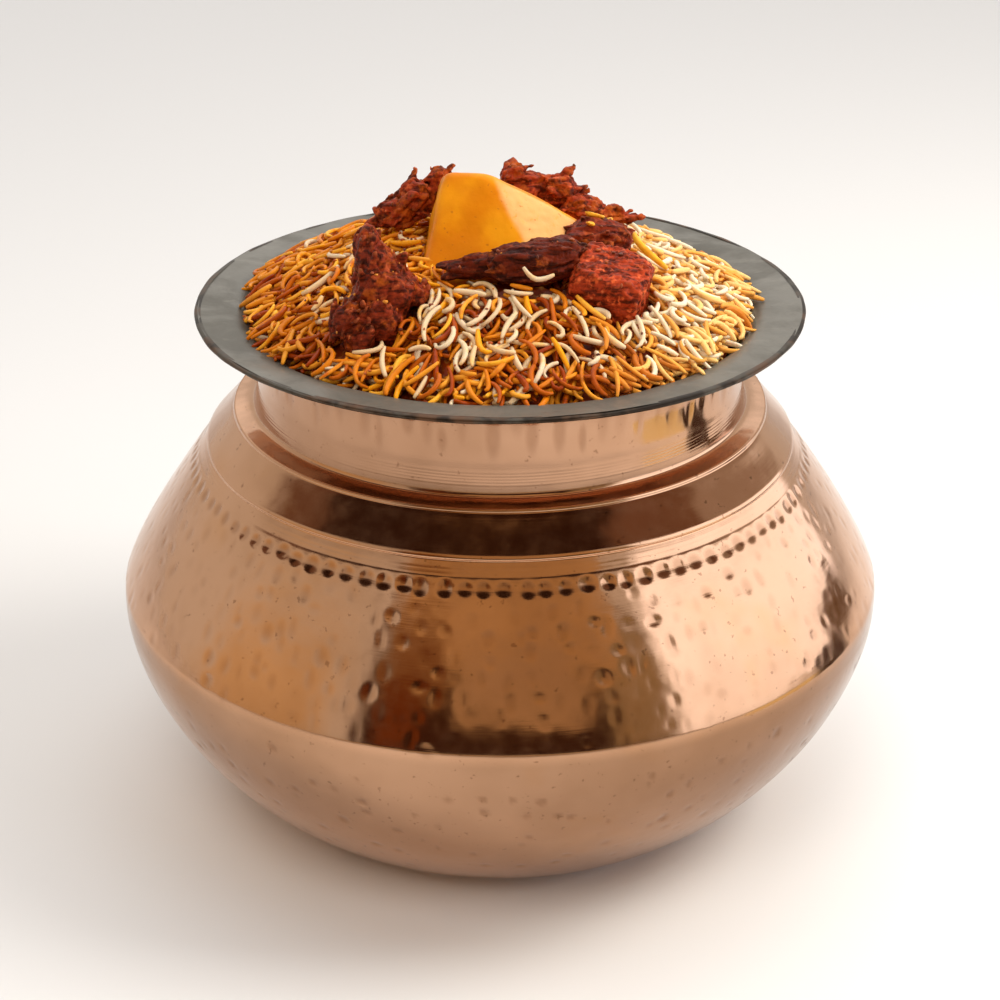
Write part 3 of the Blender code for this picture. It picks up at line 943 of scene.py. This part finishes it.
def one_skin(lumps, voxel):
    """Overlapping lumps made one closed skin: its points, faces and normals."""
    ways, faces = ball(3)
    points = [placed(rounded_block(ways, half, square), turn, centre) for centre, half, turn, square in lumps]
    shift = np.arange(len(points)) * len(ways)
    joined = (np.array(faces)[None] + shift[:, None, None]).reshape(-1, 3).tolist()
    obj = linked("lumps", mesh_of("lumps", np.concatenate(points), joined))
    remesh = obj.modifiers.new("skin", "REMESH")
    remesh.mode = "VOXEL"
    remesh.voxel_size = voxel
    soften = obj.modifiers.new("soft", "SMOOTH")
    soften.iterations = 4
    bpy.context.view_layer.update()
    skin = bpy.data.meshes.new_from_object(obj.evaluated_get(bpy.context.evaluated_depsgraph_get()))
    bpy.data.objects.remove(obj)
    points = np.array([vertex.co[:] for vertex in skin.vertices])
    normals = np.array([vertex.normal[:] for vertex in skin.vertices])
    faces = [list(face.vertices) for face in skin.polygons]
    bpy.data.meshes.remove(skin)
    return points, faces, normals


class HANDI_OT_meat(bpy.types.Operator):
    """Lay the pieces of browned meat round the potato"""

    bl_idname = "handi.meat"
    bl_label = "Meat"

    def execute(self, context):
        settings = context.scene.biryani_toppings
        for name, shape in MEATS.items():
            seed, fibres = shape["seed"], shape["fibres"]
            random = np.random.default_rng(seed)
            lumps = list(shape["lumps"])
            lumps += clinging(random, shape["lumps"], shape["shreds"], fibres, shape["wild"], *SHRED_SIZE)
            lumps += clinging(random, shape["lumps"], shape["knobs"], fibres, KNOBS_WILD, *KNOB_SIZE)
            points, faces, normals = one_skin(lumps, SKIN_VOXEL)
            grain = np.array(Vector(fibres).normalized())
            drawn = points - (points @ grain)[:, None] * grain * 0.86
            knobby = 0.00042 if shape["knobs"] > 60 else 0.00018
            out = rough(drawn, 620, 0.00060, seed) + rough(points, 420, knobby, seed + 1.0)
            out += rough(points, 1100, 0.00020, seed + 3.0)
            out += rough(points, 190, 0.00055, seed + 6.0)
            mesh = mesh_of(name + "_piece", points + normals * out[:, None] * shape["torn"], faces)
            material = meat_material(name + " look", settings, fibres, shape["paste"], shape["tone"])
            piece(name + "_piece", mesh, material, (name,))
        return {"FINISHED"}


# ---------------------------------------------------------------- the grains

# The grid of heights that the grains come to rest on: its cell, half its width and how many cells it has.
CELL = 0.0005
SPAN = 0.106
CELLS = int(2 * SPAN / CELL) + 1

# How far grains may pile over the heap's outline at its edge and in its middle, how far the lowest layer
# stays below that, how far inside the heap's foot the grains' middles stay, how many points of a grain may
# run under a larger piece, the steepest grain, and how many points a grain's centre line has.
PILE_OVER = 0.0012
PILE_OVER_MIDDLE = 0.0030
LAYERS_DEEP = 0.0030
FOOT_CLEAR = 0.0042
MOST_CROSSED = 2
STEEPEST = 0.9
STATIONS = 8

# Layers from the bottom up: share of the grains, height (0 to 1), how much the grains roll, and how high on
# the ground under them they lie.
LAYERS = ((0.32, 0.0, 0.12, 0.45), (0.30, 0.55, 0.12, 0.55), (0.38, 1.0, 0.22, 0.62))

# Each kind of grain: its material's name, its stain, its pale tint, its roughness, its painted-light tint at
# the right and how much light shines through it.
GRAIN_LOOKS = {
    "white": ("white rice", (0.76, 0.44, 0.14), (0.68, 0.48, 0.27), 0.32, (0.90, 0.80, 0.60), 0.16),
    "yellow": ("saffron rice", (0.68, 0.20, 0.003), (0.84, 0.40, 0.030), 0.32, (0.92, 0.66, 0.28), 0.12),
    "orange": ("masala rice", (0.50, 0.110, 0.002), (0.80, 0.33, 0.025), 0.30, (0.84, 0.42, 0.09), 0.0),
    "brown": ("dark rice", (0.22, 0.022, 0.001), (0.52, 0.115, 0.003), 0.30, (0.60, 0.22, 0.03), 0.0),
}

# Where the plain white grains lie thickest: place, spread and how thick.
WHITE_DRIFTS = ((0.000, -0.058, 0.034, 0.024, 1.40), (0.002, -0.046, 0.022, 0.008, 0.80),
                (0.052, -0.046, 0.017, 0.015, 1.30), (0.072, -0.012, 0.014, 0.026, 0.90),
                (-0.046, -0.068, 0.012, 0.008, 0.70), (0.040, 0.035, 0.030, 0.030, 0.30),
                (-0.058, -0.010, 0.014, 0.016, 0.16))

# Where the rice is darkest, in the same terms: steeped in masala, and painted shade in the gaps between
# grains.
DARK_DRIFTS = ((-0.006, -0.050, 0.007, 0.006, 0.9), (0.010, -0.064, 0.012, 0.006, 0.9),
               (-0.027, -0.060, 0.006, 0.012, 0.9), (0.024, -0.056, 0.008, 0.006, 0.7),
               (-0.058, -0.052, 0.010, 0.008, 0.6), (-0.072, -0.020, 0.006, 0.014, 0.6),
               (0.008, -0.078, 0.030, 0.004, 0.5), (0.046, -0.066, 0.012, 0.006, 0.5))


class Ground:
    """Heights of what the grains come to rest on, as a grid, and where the larger pieces are."""

    def __init__(self):
        edge = (np.arange(CELLS) - CELLS // 2) * CELL
        x, y = np.meshgrid(edge, edge, indexing="ij")
        radius = np.hypot(x, y)
        share = radius / (heap_foot(np.arctan2(y, x)) - CORE_INSET)
        core = core_height(x, y, np.clip(share, 0, 1))
        self.height = np.where(share < 1, core, flange_height(radius))
        self.blocked = np.zeros(self.height.shape, bool)

    def cell(self, value):
        """The row or column of the cell at each place."""
        return np.clip(np.round(value / CELL).astype(int) + CELLS // 2, 0, CELLS - 1)

    def block(self, obj):
        """Marks the cells under a piece, where no grain comes to rest."""
        points = np.empty(len(obj.data.vertices) * 3, np.float32)
        obj.data.vertices.foreach_get("co", points)
        points = points.reshape(-1, 3)
        surface = heap_height(points[:, 0], points[:, 1])
        points = points[points[:, 2] > surface - 0.0026]
        self.blocked[self.cell(points[:, 0]), self.cell(points[:, 1])] = True


def grain_curves(random, count, length):
    """Flat curves of cooked grains: gently bent, some hooked at one end."""
    t = np.linspace(-1, 1, STATIONS)[None]
    bend = random.normal(0.0, 0.50, (count, 1)) + random.choice([-1, 1], (count, 1)) * 0.72
    hooked = random.uniform(size=(count, 1)) < 0.36
    hook = np.where(hooked, random.uniform(0.8, 1.9, (count, 1)) * np.sign(bend), 0.0)
    end = random.choice([-1, 1], (count, 1))
    angle = bend * t + hook * np.clip(t * end - 0.1, 0, None) ** 1.4 * end
    step = length[:, None] / (STATIONS - 1)
    u = np.cumsum(np.cos(angle) * step, 1)
    v = np.cumsum(np.sin(angle) * step, 1)
    return u - u.mean(1, keepdims=True), v - v.mean(1, keepdims=True)


def rest_grains(ground, random, places, turns, rolls, lengths, width, high, headroom):
    """Drops grains one by one. Returns the centre lines of those that found a place, and which they are."""
    curves_u, curves_v = grain_curves(random, len(places), lengths)
    out, kept = [], []
    disk = np.array([(i, j) for i in range(-2, 3) for j in range(-2, 3) if i * i + j * j <= 5])
    reach = np.hypot(*disk.T) * CELL
    crown = np.sqrt(np.clip(1 - (reach / (width * 0.62)) ** 2, 0, None)) * width * 0.45
    for index, (x, y) in enumerate(places):
        u, v = curves_u[index], curves_v[index]
        across, lift = v * math.cos(rolls[index]), v * math.sin(rolls[index])
        for heading in (turns[index], turns[index] + math.pi / 2):
            px = x + u * math.cos(heading) - across * math.sin(heading)
            py = y + u * math.sin(heading) + across * math.cos(heading)
            column, row = ground.cell(px), ground.cell(py)
            crossed = ground.blocked[column, row].sum()
            if crossed <= MOST_CROSSED:
                break
        if crossed > MOST_CROSSED:
            continue
        near = tuple(np.clip(cells[:, None] + off, 0, CELLS - 1) for cells, off in zip((column, row), disk.T))
        need = np.sort(ground.height[near], 1)[:, -4] - lift
        slope = float(np.clip(np.polyfit(u, need, 1)[0], -STEEPEST, STEEPEST))
        base = np.quantile(need - slope * u, high) + width * 0.26
        pz = base + slope * u + lift
        allowed = PILE_OVER_MIDDLE + (PILE_OVER - PILE_OVER_MIDDLE) * smooth(np.hypot(px, py), 0.046, 0.066)
        room = headroom * (1 - smooth(math.hypot(x, y), 0.070, 0.082))
        if (pz - heap_height(px, py) - allowed).max() > -room:
            continue
        out.append(np.stack([px, py, pz], -1))
        kept.append(index)
        np.maximum.at(ground.height, near, np.where(crown > 0, pz[:, None] + crown, 0.0))
    return out, kept


def grain_mesh(name, lines, widths, random, sides=6):
    """One mesh of many grains swept along their centre lines, pointed at both ends."""
    count, stations, _ = lines.shape
    run = np.linspace(0, 1, stations)
    body = np.clip(np.sin(math.pi * (0.055 + 0.89 * run)), 0, None) ** 0.27
    taper = random.uniform(0.86, 1.0, (count, 1)) * body[None]
    forward = np.gradient(lines, axis=1)
    forward /= np.linalg.norm(forward, axis=2, keepdims=True) + 1e-12
    up = np.zeros_like(forward)
    up[..., 2] = 1.0
    side = np.cross(forward, up)
    side /= np.linalg.norm(side, axis=2, keepdims=True) + 1e-9
    up = np.cross(side, forward)
    spin = random.uniform(0, math.pi, (count, 1, 1))  # grains are a little flat, each its own way
    side, up = side * np.cos(spin) + up * np.sin(spin), up * np.cos(spin) - side * np.sin(spin)
    turn = np.arange(sides) / sides * 2 * math.pi
    half = widths[:, None, None, None] * 0.5 * taper[:, :, None, None]
    ring = side[:, :, None] * np.cos(turn)[None, None, :, None] * 1.06
    ring = ring + up[:, :, None] * np.sin(turn)[None, None, :, None] * 0.88
    rings = lines[:, :, None] + ring * half
    past = widths[:, None] * 0.13
    tips = np.stack([lines[:, 0] - forward[:, 0] * past, lines[:, -1] + forward[:, -1] * past], 1)
    points = np.concatenate([rings.reshape(count, -1, 3), tips], 1).reshape(-1, 3)
    quads, ends = [], []
    tip, last = stations * sides, (stations - 1) * sides
    for start in range(0, last, sides):
        for index in range(sides):
            after = (index + 1) % sides
            quads.append((start + index, start + after, start + sides + after, start + sides + index))
    for index in range(sides):
        after = (index + 1) % sides
        ends += [(tip, after, index), (tip + 1, last + index, last + after)]
    shift = (np.arange(count) * (tip + 2))[:, None, None]
    faces = (np.array(quads)[None] + shift).reshape(-1, 4).tolist()
    faces += (np.array(ends)[None] + shift).reshape(-1, 3).tolist()
    return mesh_of(name, points, faces)


def smooth(value, low, high):
    """0 up to low and 1 from high on, with a smooth step between them."""
    t = np.clip((value - low) / (high - low), 0, 1)
    return t * t * (3 - 2 * t)


def drifts_here(x, y, drifts):
    total = 0.0
    for at_x, at_y, wide, deep, amount in drifts:
        total += amount * math.exp(-((x - at_x) / wide) ** 2 - ((y - at_y) / deep) ** 2)
    return total


def kinds_here(x, y, layer):
    """Chances of white, yellow, orange and brown grains at a place, by layer from the bottom (0) up."""
    dark = min(drifts_here(x, y, DARK_DRIFTS), 0.9)
    white = min(0.045 + drifts_here(x, y, WHITE_DRIFTS), 0.80) * (0.30 + 0.70 * layer) * (1 - 0.8 * dark)
    left = smooth(-x, 0.012, 0.036)
    right = smooth(x, 0.024, 0.056)
    drift = 0.5 + 0.5 * math.sin(x * 190 + 1.3) * math.sin(y * 170 + 0.2)
    rest = left * np.array([0.38, 0.48, 0.14]) + right * np.array([0.74, 0.24, 0.02])
    rest += (1 - left - right) * np.array([0.36, 0.44, 0.20])
    # Brown grains lie mostly low in the heap, partly as steeped rice and partly as painted shade in the gaps
    # between the top grains.
    rest *= np.array([0.5 + 0.5 * layer, 1.0, 1.9 - 1.70 * layer])
    rest = rest * (1 - dark) + np.array([0.04, 0.34, 0.62]) * dark
    rest[0] *= 0.6 + 0.8 * drift
    rest[1:] *= 1.6 - 0.8 * layer
    return np.concatenate([[white], (1 - white) * rest / rest.sum()])


class HANDI_OT_grains(bpy.types.Operator):
    """Heap the loose grains over the core, one piece for each kind"""

    bl_idname = "handi.grains"
    bl_label = "Rice grains"

    def execute(self, context):
        settings = context.scene.biryani_rice
        random = np.random.default_rng(2024)
        ground = Ground()
        for obj in bpy.data.objects:
            if obj.name.endswith(("_piece", "_wedge")):
                ground.block(obj)
        kinds = tuple(GRAIN_LOOKS)
        lines = {kind: [] for kind in kinds}
        widths = {kind: [] for kind in kinds}
        for part, layer, tilt, high in LAYERS:
            count = int(settings.grains * part)
            turn = random.uniform(0, 2 * math.pi, count)
            edge = random.uniform(size=count) < 0.28
            share = np.where(edge, random.uniform(0.90, 1.0, count), np.sqrt(random.uniform(0.0, 1.0, count)))
            radius = share * (heap_foot(turn) - FOOT_CLEAR)
            x, y = radius * np.cos(turn), radius * np.sin(turn)
            places = np.stack([x, y], -1)
            kind = [random.choice(4, p=kinds_here(*place, layer)) for place in places]
            length = settings.grain_length * random.normal(1.0, 0.13, count)
            length = length * np.where(random.uniform(size=count) < 0.12, 0.62, 1.0)
            roll = random.normal(0.0, tilt * 1.6, count)
            flow = 2.3 * np.sin(x * 105 + 0.6) + 2.1 * np.sin(y * 120 + x * 40 + 1.9)
            heading = np.where(random.uniform(size=count) < 0.55, flow + random.normal(0, 0.55, count),
                               random.uniform(0, 2 * math.pi, count))
            hangs = (random.uniform(size=count) < 0.45) & (y < -0.035)
            heading = np.where(hangs, turn + random.normal(0, 0.45, count), heading)
            found, kept = rest_grains(ground, random, places, heading, roll, length, settings.grain_width,
                                      high, LAYERS_DEEP * (1 - layer))
            for line, index in zip(found, kept):
                lines[kinds[kind[index]]].append(line)
                widths[kinds[kind[index]]].append(settings.grain_width * random.uniform(0.80, 1.20))
        lines["white"].append(self.curl())
        widths["white"].append(settings.grain_width)
        for name in kinds:
            mesh = grain_mesh("rice_" + name, np.array(lines[name]), np.array(widths[name]), random)
            look = grain_material(getattr(settings, name), *GRAIN_LOOKS[name])
            piece("rice_" + name, mesh, look, ("rice_heap",))
        return {"FINISHED"}

    @staticmethod
    def curl():
        """The white grain that lies curled on the long piece of meat."""
        t = np.linspace(-1, 1, STATIONS)
        rise = t * t * np.where(t < 0, 0.0042, 0.0014)
        return np.stack([0.0122 + 0.0048 * t, -0.0462 + 0.0006 * t, 0.2052 + rise], -1)


# ---------------------------------------------------------------- crumbs and flakes

# Where crumbs lie: place, spread and how many are dropped. They keep inside the rim and off the potato.
CRUMB_HOMES = ((-0.045, -0.045, 0.016, 150), (-0.030, 0.010, 0.016, 90), (0.020, 0.018, 0.018, 90),
               (0.002, -0.048, 0.020, 60), (0.036, -0.024, 0.014, 40), (-0.060, -0.015, 0.018, 60))
CRUMB_SIZE = (0.0002, 0.0007)
CRUMBS_WITHIN = 0.084
POTATO_CLEAR = (0.004, -0.008, 0.028)

# Yellow flakes: place, half length, half width and turn in degrees.
FLAKES = ((0.0312, -0.0100, 0.0034, 0.0019, 10), (0.0295, -0.0165, 0.0030, 0.0013, 70),
          (0.0240, -0.0215, 0.0022, 0.0016, 20), (0.0360, -0.0060, 0.0018, 0.0011, 130),
          (-0.0300, 0.0000, 0.0030, 0.0011, 60), (0.0285, 0.0035, 0.0020, 0.0010, 80))
STRAND = ((0.0440, -0.0140, 0.2095), (0.0545, -0.0215, 0.2000))
STRAND_WIDTH = 0.0023


def built(name, build):
    """The mesh of a bmesh that is done with."""
    mesh = bpy.data.meshes.new(name)
    build.to_mesh(mesh)
    build.free()
    return mesh


def surface_top(x, y):
    """Height of the highest visible surface over a place."""
    graph = bpy.context.evaluated_depsgraph_get()
    hit, where, _, _, _, _ = bpy.context.scene.ray_cast(graph, Vector((x, y, 0.30)), Vector((0, 0, -1)))
    if not hit:
        raise RuntimeError("nothing lies under the crumb at %.3f, %.3f" % (x, y))
    return where.z


class HANDI_OT_crumbs(bpy.types.Operator):
    """Scatter crumbs of masala and the yellow flakes"""

    bl_idname = "handi.crumbs"
    bl_label = "Crumbs and flakes"

    def execute(self, context):
        settings = context.scene.biryani_toppings
        random = np.random.default_rng(77)
        build = bmesh.new()
        for x, y, spread, count in CRUMB_HOMES:
            for _ in range(count):
                px, py = x + random.normal(0, spread), y + random.normal(0, spread)
                if math.hypot(px, py) > CRUMBS_WITHIN:
                    continue
                size = random.uniform(*CRUMB_SIZE)
                if math.hypot(px - POTATO_CLEAR[0], py - POTATO_CLEAR[1]) < POTATO_CLEAR[2]:
                    continue
                at = Vector((px, py, surface_top(px, py) + size * 0.25))
                stretch = Vector(random.uniform(0.6, 1.5, 3))
                for vertex in bmesh.ops.create_icosphere(build, subdivisions=2, radius=size)["verts"]:
                    lump = 1 + 0.45 * noise.noise(vertex.co * 1500 + at * 900)
                    vertex.co = vertex.co * stretch * lump + at
        piece("masala_crumbs", built("masala_crumbs", build), crumb_material(settings), ())

        build = bmesh.new()
        for x, y, long, wide, turn in FLAKES:
            at = Vector((x, y, surface_top(x, y) + 0.0002))
            spin = Euler((random.normal(0, 0.3), random.normal(0, 0.3), math.radians(turn))).to_matrix()
            for vertex in bmesh.ops.create_icosphere(build, subdivisions=3, radius=1.0)["verts"]:
                lump = 1 + 0.22 * noise.noise(vertex.co * 2.2 + at * 700)
                flat = vertex.co * Vector((long, wide, 0.0008)) * lump
                flat.z += 0.10 * flat.x * flat.x / long
                vertex.co = spin @ flat + at
        piece("saffron_flakes", built("saffron_flakes", build), flake_material(), ())

        t = np.linspace(0, 1, 14)
        start, end = np.array(STRAND[0]), np.array(STRAND[1])
        line = start + (end - start) * t[:, None]
        line[:, 0] -= 0.0030 * np.sin(math.pi * t)
        line[:, 2] += 0.0016 * np.sin(math.pi * t)
        mesh = grain_mesh("saffron_strand", line[None], np.array([STRAND_WIDTH]), random, 10)
        piece("saffron_strand", mesh, flake_material(), ())
        return {"FINISHED"}


# ---------------------------------------------------------------- the stage

CAMERA_PLACE = (0.0, -0.6703, 0.4333)
CAMERA_PITCH = 0.455
LENS = 75.6
SENSOR = 36.0
FLOOR_HALF = 6.0

# Area lights: name, place, aim, width, share of the key's power and colour.
LIGHTS = (
    ("key", (0.78, -0.04, 0.86), (0.0, 0.0, 0.18), 0.50, 1.0, (1.0, 0.95, 0.87)),
    ("left_fill", (-0.25, -0.75, 1.00), (0.0, 0.0, 0.15), 0.55, 0.50, (1.0, 0.94, 0.86)))

# Standing cards that only the metal mirrors: name, from and to round the pot in degrees, low, high, colour.
CARD_DISTANCE = 0.36
CARDS = (
    ("gold_card", 60, 83, 0.00, 0.07, (1.40, 1.22, 0.68)),
    ("dark_card", 84, 98, 0.00, 0.085, (0.07, 0.035, 0.02)),
    ("side_card", 93, 108, 0.07, 0.12, (0.19, 0.12, 0.07)))

# What the metal mirrors of the room, in degrees: from and to round the pot (0 is the front), from and to
# above the floor, softness of the edges, and colour. A later patch covers an earlier one. ARCH_TURN and
# ARCH_DROP bend the patches' heights down at the sides.
ROOM_WALL = (0.74, 0.70, 0.64)
ROOM_CEILING = (1.5, 1.5, 1.5)
ROOM = (
    (-92, -52, 6, 38, 9.0, (0.78, 0.58, 0.34)),
    (52, 128, 9, 46, 2.0, (1.86, 1.98, 2.20)),
    (88, 134, 48.5, 74, 2.5, (0.40, 0.32, 0.26)),
    (-102, 92, 48.5, 74, 2.5, (0.20, 0.105, 0.065)),
    (-82, 54, 50.0, 72, 2.5, (0.036, 0.013, 0.006)),
    (104, 152, 2, 14, 3.0, (0.10, 0.05, 0.025)),
    (-41, 50, 8, 41, 1.5, (0.050, 0.018, 0.008)),
    (33, 50, 12, 40, 2.0, (0.38, 0.29, 0.17)),
    (-38, 40, 34, 49, 1.2, (0.62, 0.40, 0.19)),
    (-15, 27, 24, 37, 1.2, (0.54, 0.37, 0.21)),
    (-38, -19, 29, 41, 1.5, (0.27, 0.13, 0.050)),
    (-35, -24, 14, 33, 1.5, (0.17, 0.045, 0.010)),
    (-180, 180, -8, 9, 1.5, (0.50, 0.40, 0.28)))
ARCH_TURN = 0.66
ARCH_DROP = math.radians(40)


class HANDI_OT_stage(bpy.types.Operator):
    """Lay the floor, set the lights and the camera"""

    bl_idname = "handi.stage"
    bl_label = "Floor, lights and camera"

    def execute(self, context):
        settings = context.scene.handi_stage
        scene = context.scene
        build = bmesh.new()
        bmesh.ops.create_grid(build, x_segments=8, y_segments=8, size=FLOOR_HALF)
        floor = linked("floor", built("floor", build))
        floor.location.z = -0.0002
        floor.data.materials.append(floor_material(settings))

        for name, place, aim, size, share, colour in LIGHTS:
            self.light(name, place, aim, size, settings.key_power * share, colour)
        for card in CARDS:
            self.card(*card)
        self.room(scene, settings)

        camera = bpy.data.cameras.new("camera")
        camera.lens = LENS
        camera.sensor_width = SENSOR
        camera.clip_start = 0.01
        seat = linked("camera", camera)
        seat.location = CAMERA_PLACE
        seat.rotation_euler = (math.pi / 2 - CAMERA_PITCH, 0.0, 0.0)
        scene.camera = seat
        scene.view_settings.view_transform = "Standard"
        return {"FINISHED"}

    @staticmethod
    def light(name, place, aim, size, power, colour):
        lamp = bpy.data.lights.new(name, "AREA")
        lamp.shape = "SQUARE"
        lamp.size = size
        lamp.energy = power
        lamp.color = colour
        obj = linked(name, lamp)
        obj.location = place
        obj.rotation_euler = (Vector(aim) - Vector(place)).to_track_quat("-Z", "Y").to_euler()
        obj.visible_glossy = False

    @staticmethod
    def card(name, left, right, low, high, colour):
        """A standing card out of sight, between two angles round the pot."""
        steps = np.radians(np.linspace(left, right, 9))
        ring = [(CARD_DISTANCE * math.sin(turn), -CARD_DISTANCE * math.cos(turn)) for turn in steps]
        points = [(x, y, low) for x, y in ring] + [(x, y, high) for x, y in ring]
        faces = [(index, index + 1, index + 10, index + 9) for index in range(8)]
        obj = linked(name, mesh_of(name, np.array(points), faces))
        look = Shader(name)
        obj.data.materials.append(look.finish(
            Base_Color=(0.0, 0.0, 0.0), Emission_Color=colour, Emission_Strength=1.0, Specular_IOR_Level=0.0))
        obj.visible_camera = False
        obj.visible_diffuse = False
        obj.visible_shadow = False

    @staticmethod
    def room(scene, settings):
        """Soft light from all round, with pale windows and dark corners for the metal to mirror."""
        world = bpy.data.worlds.new("room")
        world.use_nodes = True
        scene.world = world
        world.node_tree.nodes.clear()
        sky = Nodes(world.node_tree)
        x, y, z = sky.node("SeparateXYZ", {"Vector": sky.node("TexCoord").outputs["Generated"]}).outputs
        turn = sky.math("ARCTAN2", x, sky.math("MULTIPLY", y, -1.0))
        bent = sky.math("SUBTRACT", 1.0, sky.math("COSINE", sky.math("MULTIPLY", turn, ARCH_TURN)))
        rise = sky.math("ADD", sky.math("ARCSINE", z), sky.math("MULTIPLY", bent, ARCH_DROP))

        def between(value, low, high, soft):
            above = sky.ramp(value, math.radians(low - soft), math.radians(low + soft))
            below = sky.ramp(value, math.radians(high - soft), math.radians(high + soft), 1.0, 0.0)
            return sky.math("MULTIPLY", above, below)

        colour = sky.mix(sky.ramp(rise, math.radians(74), math.radians(84)), ROOM_WALL, ROOM_CEILING)
        for left, right, low, high, soft, tint in ROOM:
            share = sky.math("MULTIPLY", between(turn, left, right, soft), between(rise, low, high, soft))
            colour = sky.mix(share, colour, tint)

        seen = sky.node("Background", {"Color": (0.96, 0.96, 0.96)}).outputs[0]
        lit = sky.node("Background", {"Color": colour, "Strength": settings.room_light}).outputs[0]
        to_camera = sky.node("LightPath").outputs["Is Camera Ray"]
        shown = sky.node("MixShader", {0: to_camera, 1: lit, 2: seen}).outputs[0]
        sky.node("OutputWorld", {"Surface": shown})


# ---------------------------------------------------------------- panel and main


class HANDI_PT_panel(bpy.types.Panel):
    """Lists the pieces and their settings"""

    bl_label = "Biryani in a handi"
    bl_idname = "HANDI_PT_panel"
    bl_space_type = "VIEW_3D"
    bl_region_type = "UI"
    bl_category = "Handi"

    def draw(self, context):
        for name in ("handi", "biryani_rice", "biryani_toppings", "handi_stage"):
            group = getattr(context.scene, name)
            box = self.layout.box()
            for key in group.bl_rna.properties.keys():
                if key not in ("rna_type", "name"):
                    box.prop(group, key)
        for operator in OPERATORS:
            self.layout.operator(operator.bl_idname)


OPERATORS = (HANDI_OT_copper, HANDI_OT_tin, HANDI_OT_core, HANDI_OT_potato, HANDI_OT_meat,
             HANDI_OT_grains, HANDI_OT_crumbs, HANDI_OT_stage)
GROUPS = {"handi": HandiSettings, "biryani_rice": RiceSettings, "biryani_toppings": ToppingSettings,
          "handi_stage": StageSettings}


def register():
    for group in GROUPS.values():
        bpy.utils.register_class(group)
    for name, group in GROUPS.items():
        setattr(bpy.types.Scene, name, PointerProperty(type=group))
    for operator in OPERATORS:
        bpy.utils.register_class(operator)
    bpy.utils.register_class(HANDI_PT_panel)


def unregister():
    bpy.utils.unregister_class(HANDI_PT_panel)
    for operator in reversed(OPERATORS):
        bpy.utils.unregister_class(operator)
    for name, group in GROUPS.items():
        delattr(bpy.types.Scene, name)
        bpy.utils.unregister_class(group)


def main():
    register()
    bpy.ops.handi.copper()
    bpy.ops.handi.tin()
    bpy.ops.handi.core()
    bpy.ops.handi.potato()
    bpy.ops.handi.meat()
    bpy.ops.handi.grains()
    bpy.ops.handi.crumbs()
    bpy.ops.handi.stage()
    bpy.context.view_layer.update()


if __name__ == "__main__":
    main()
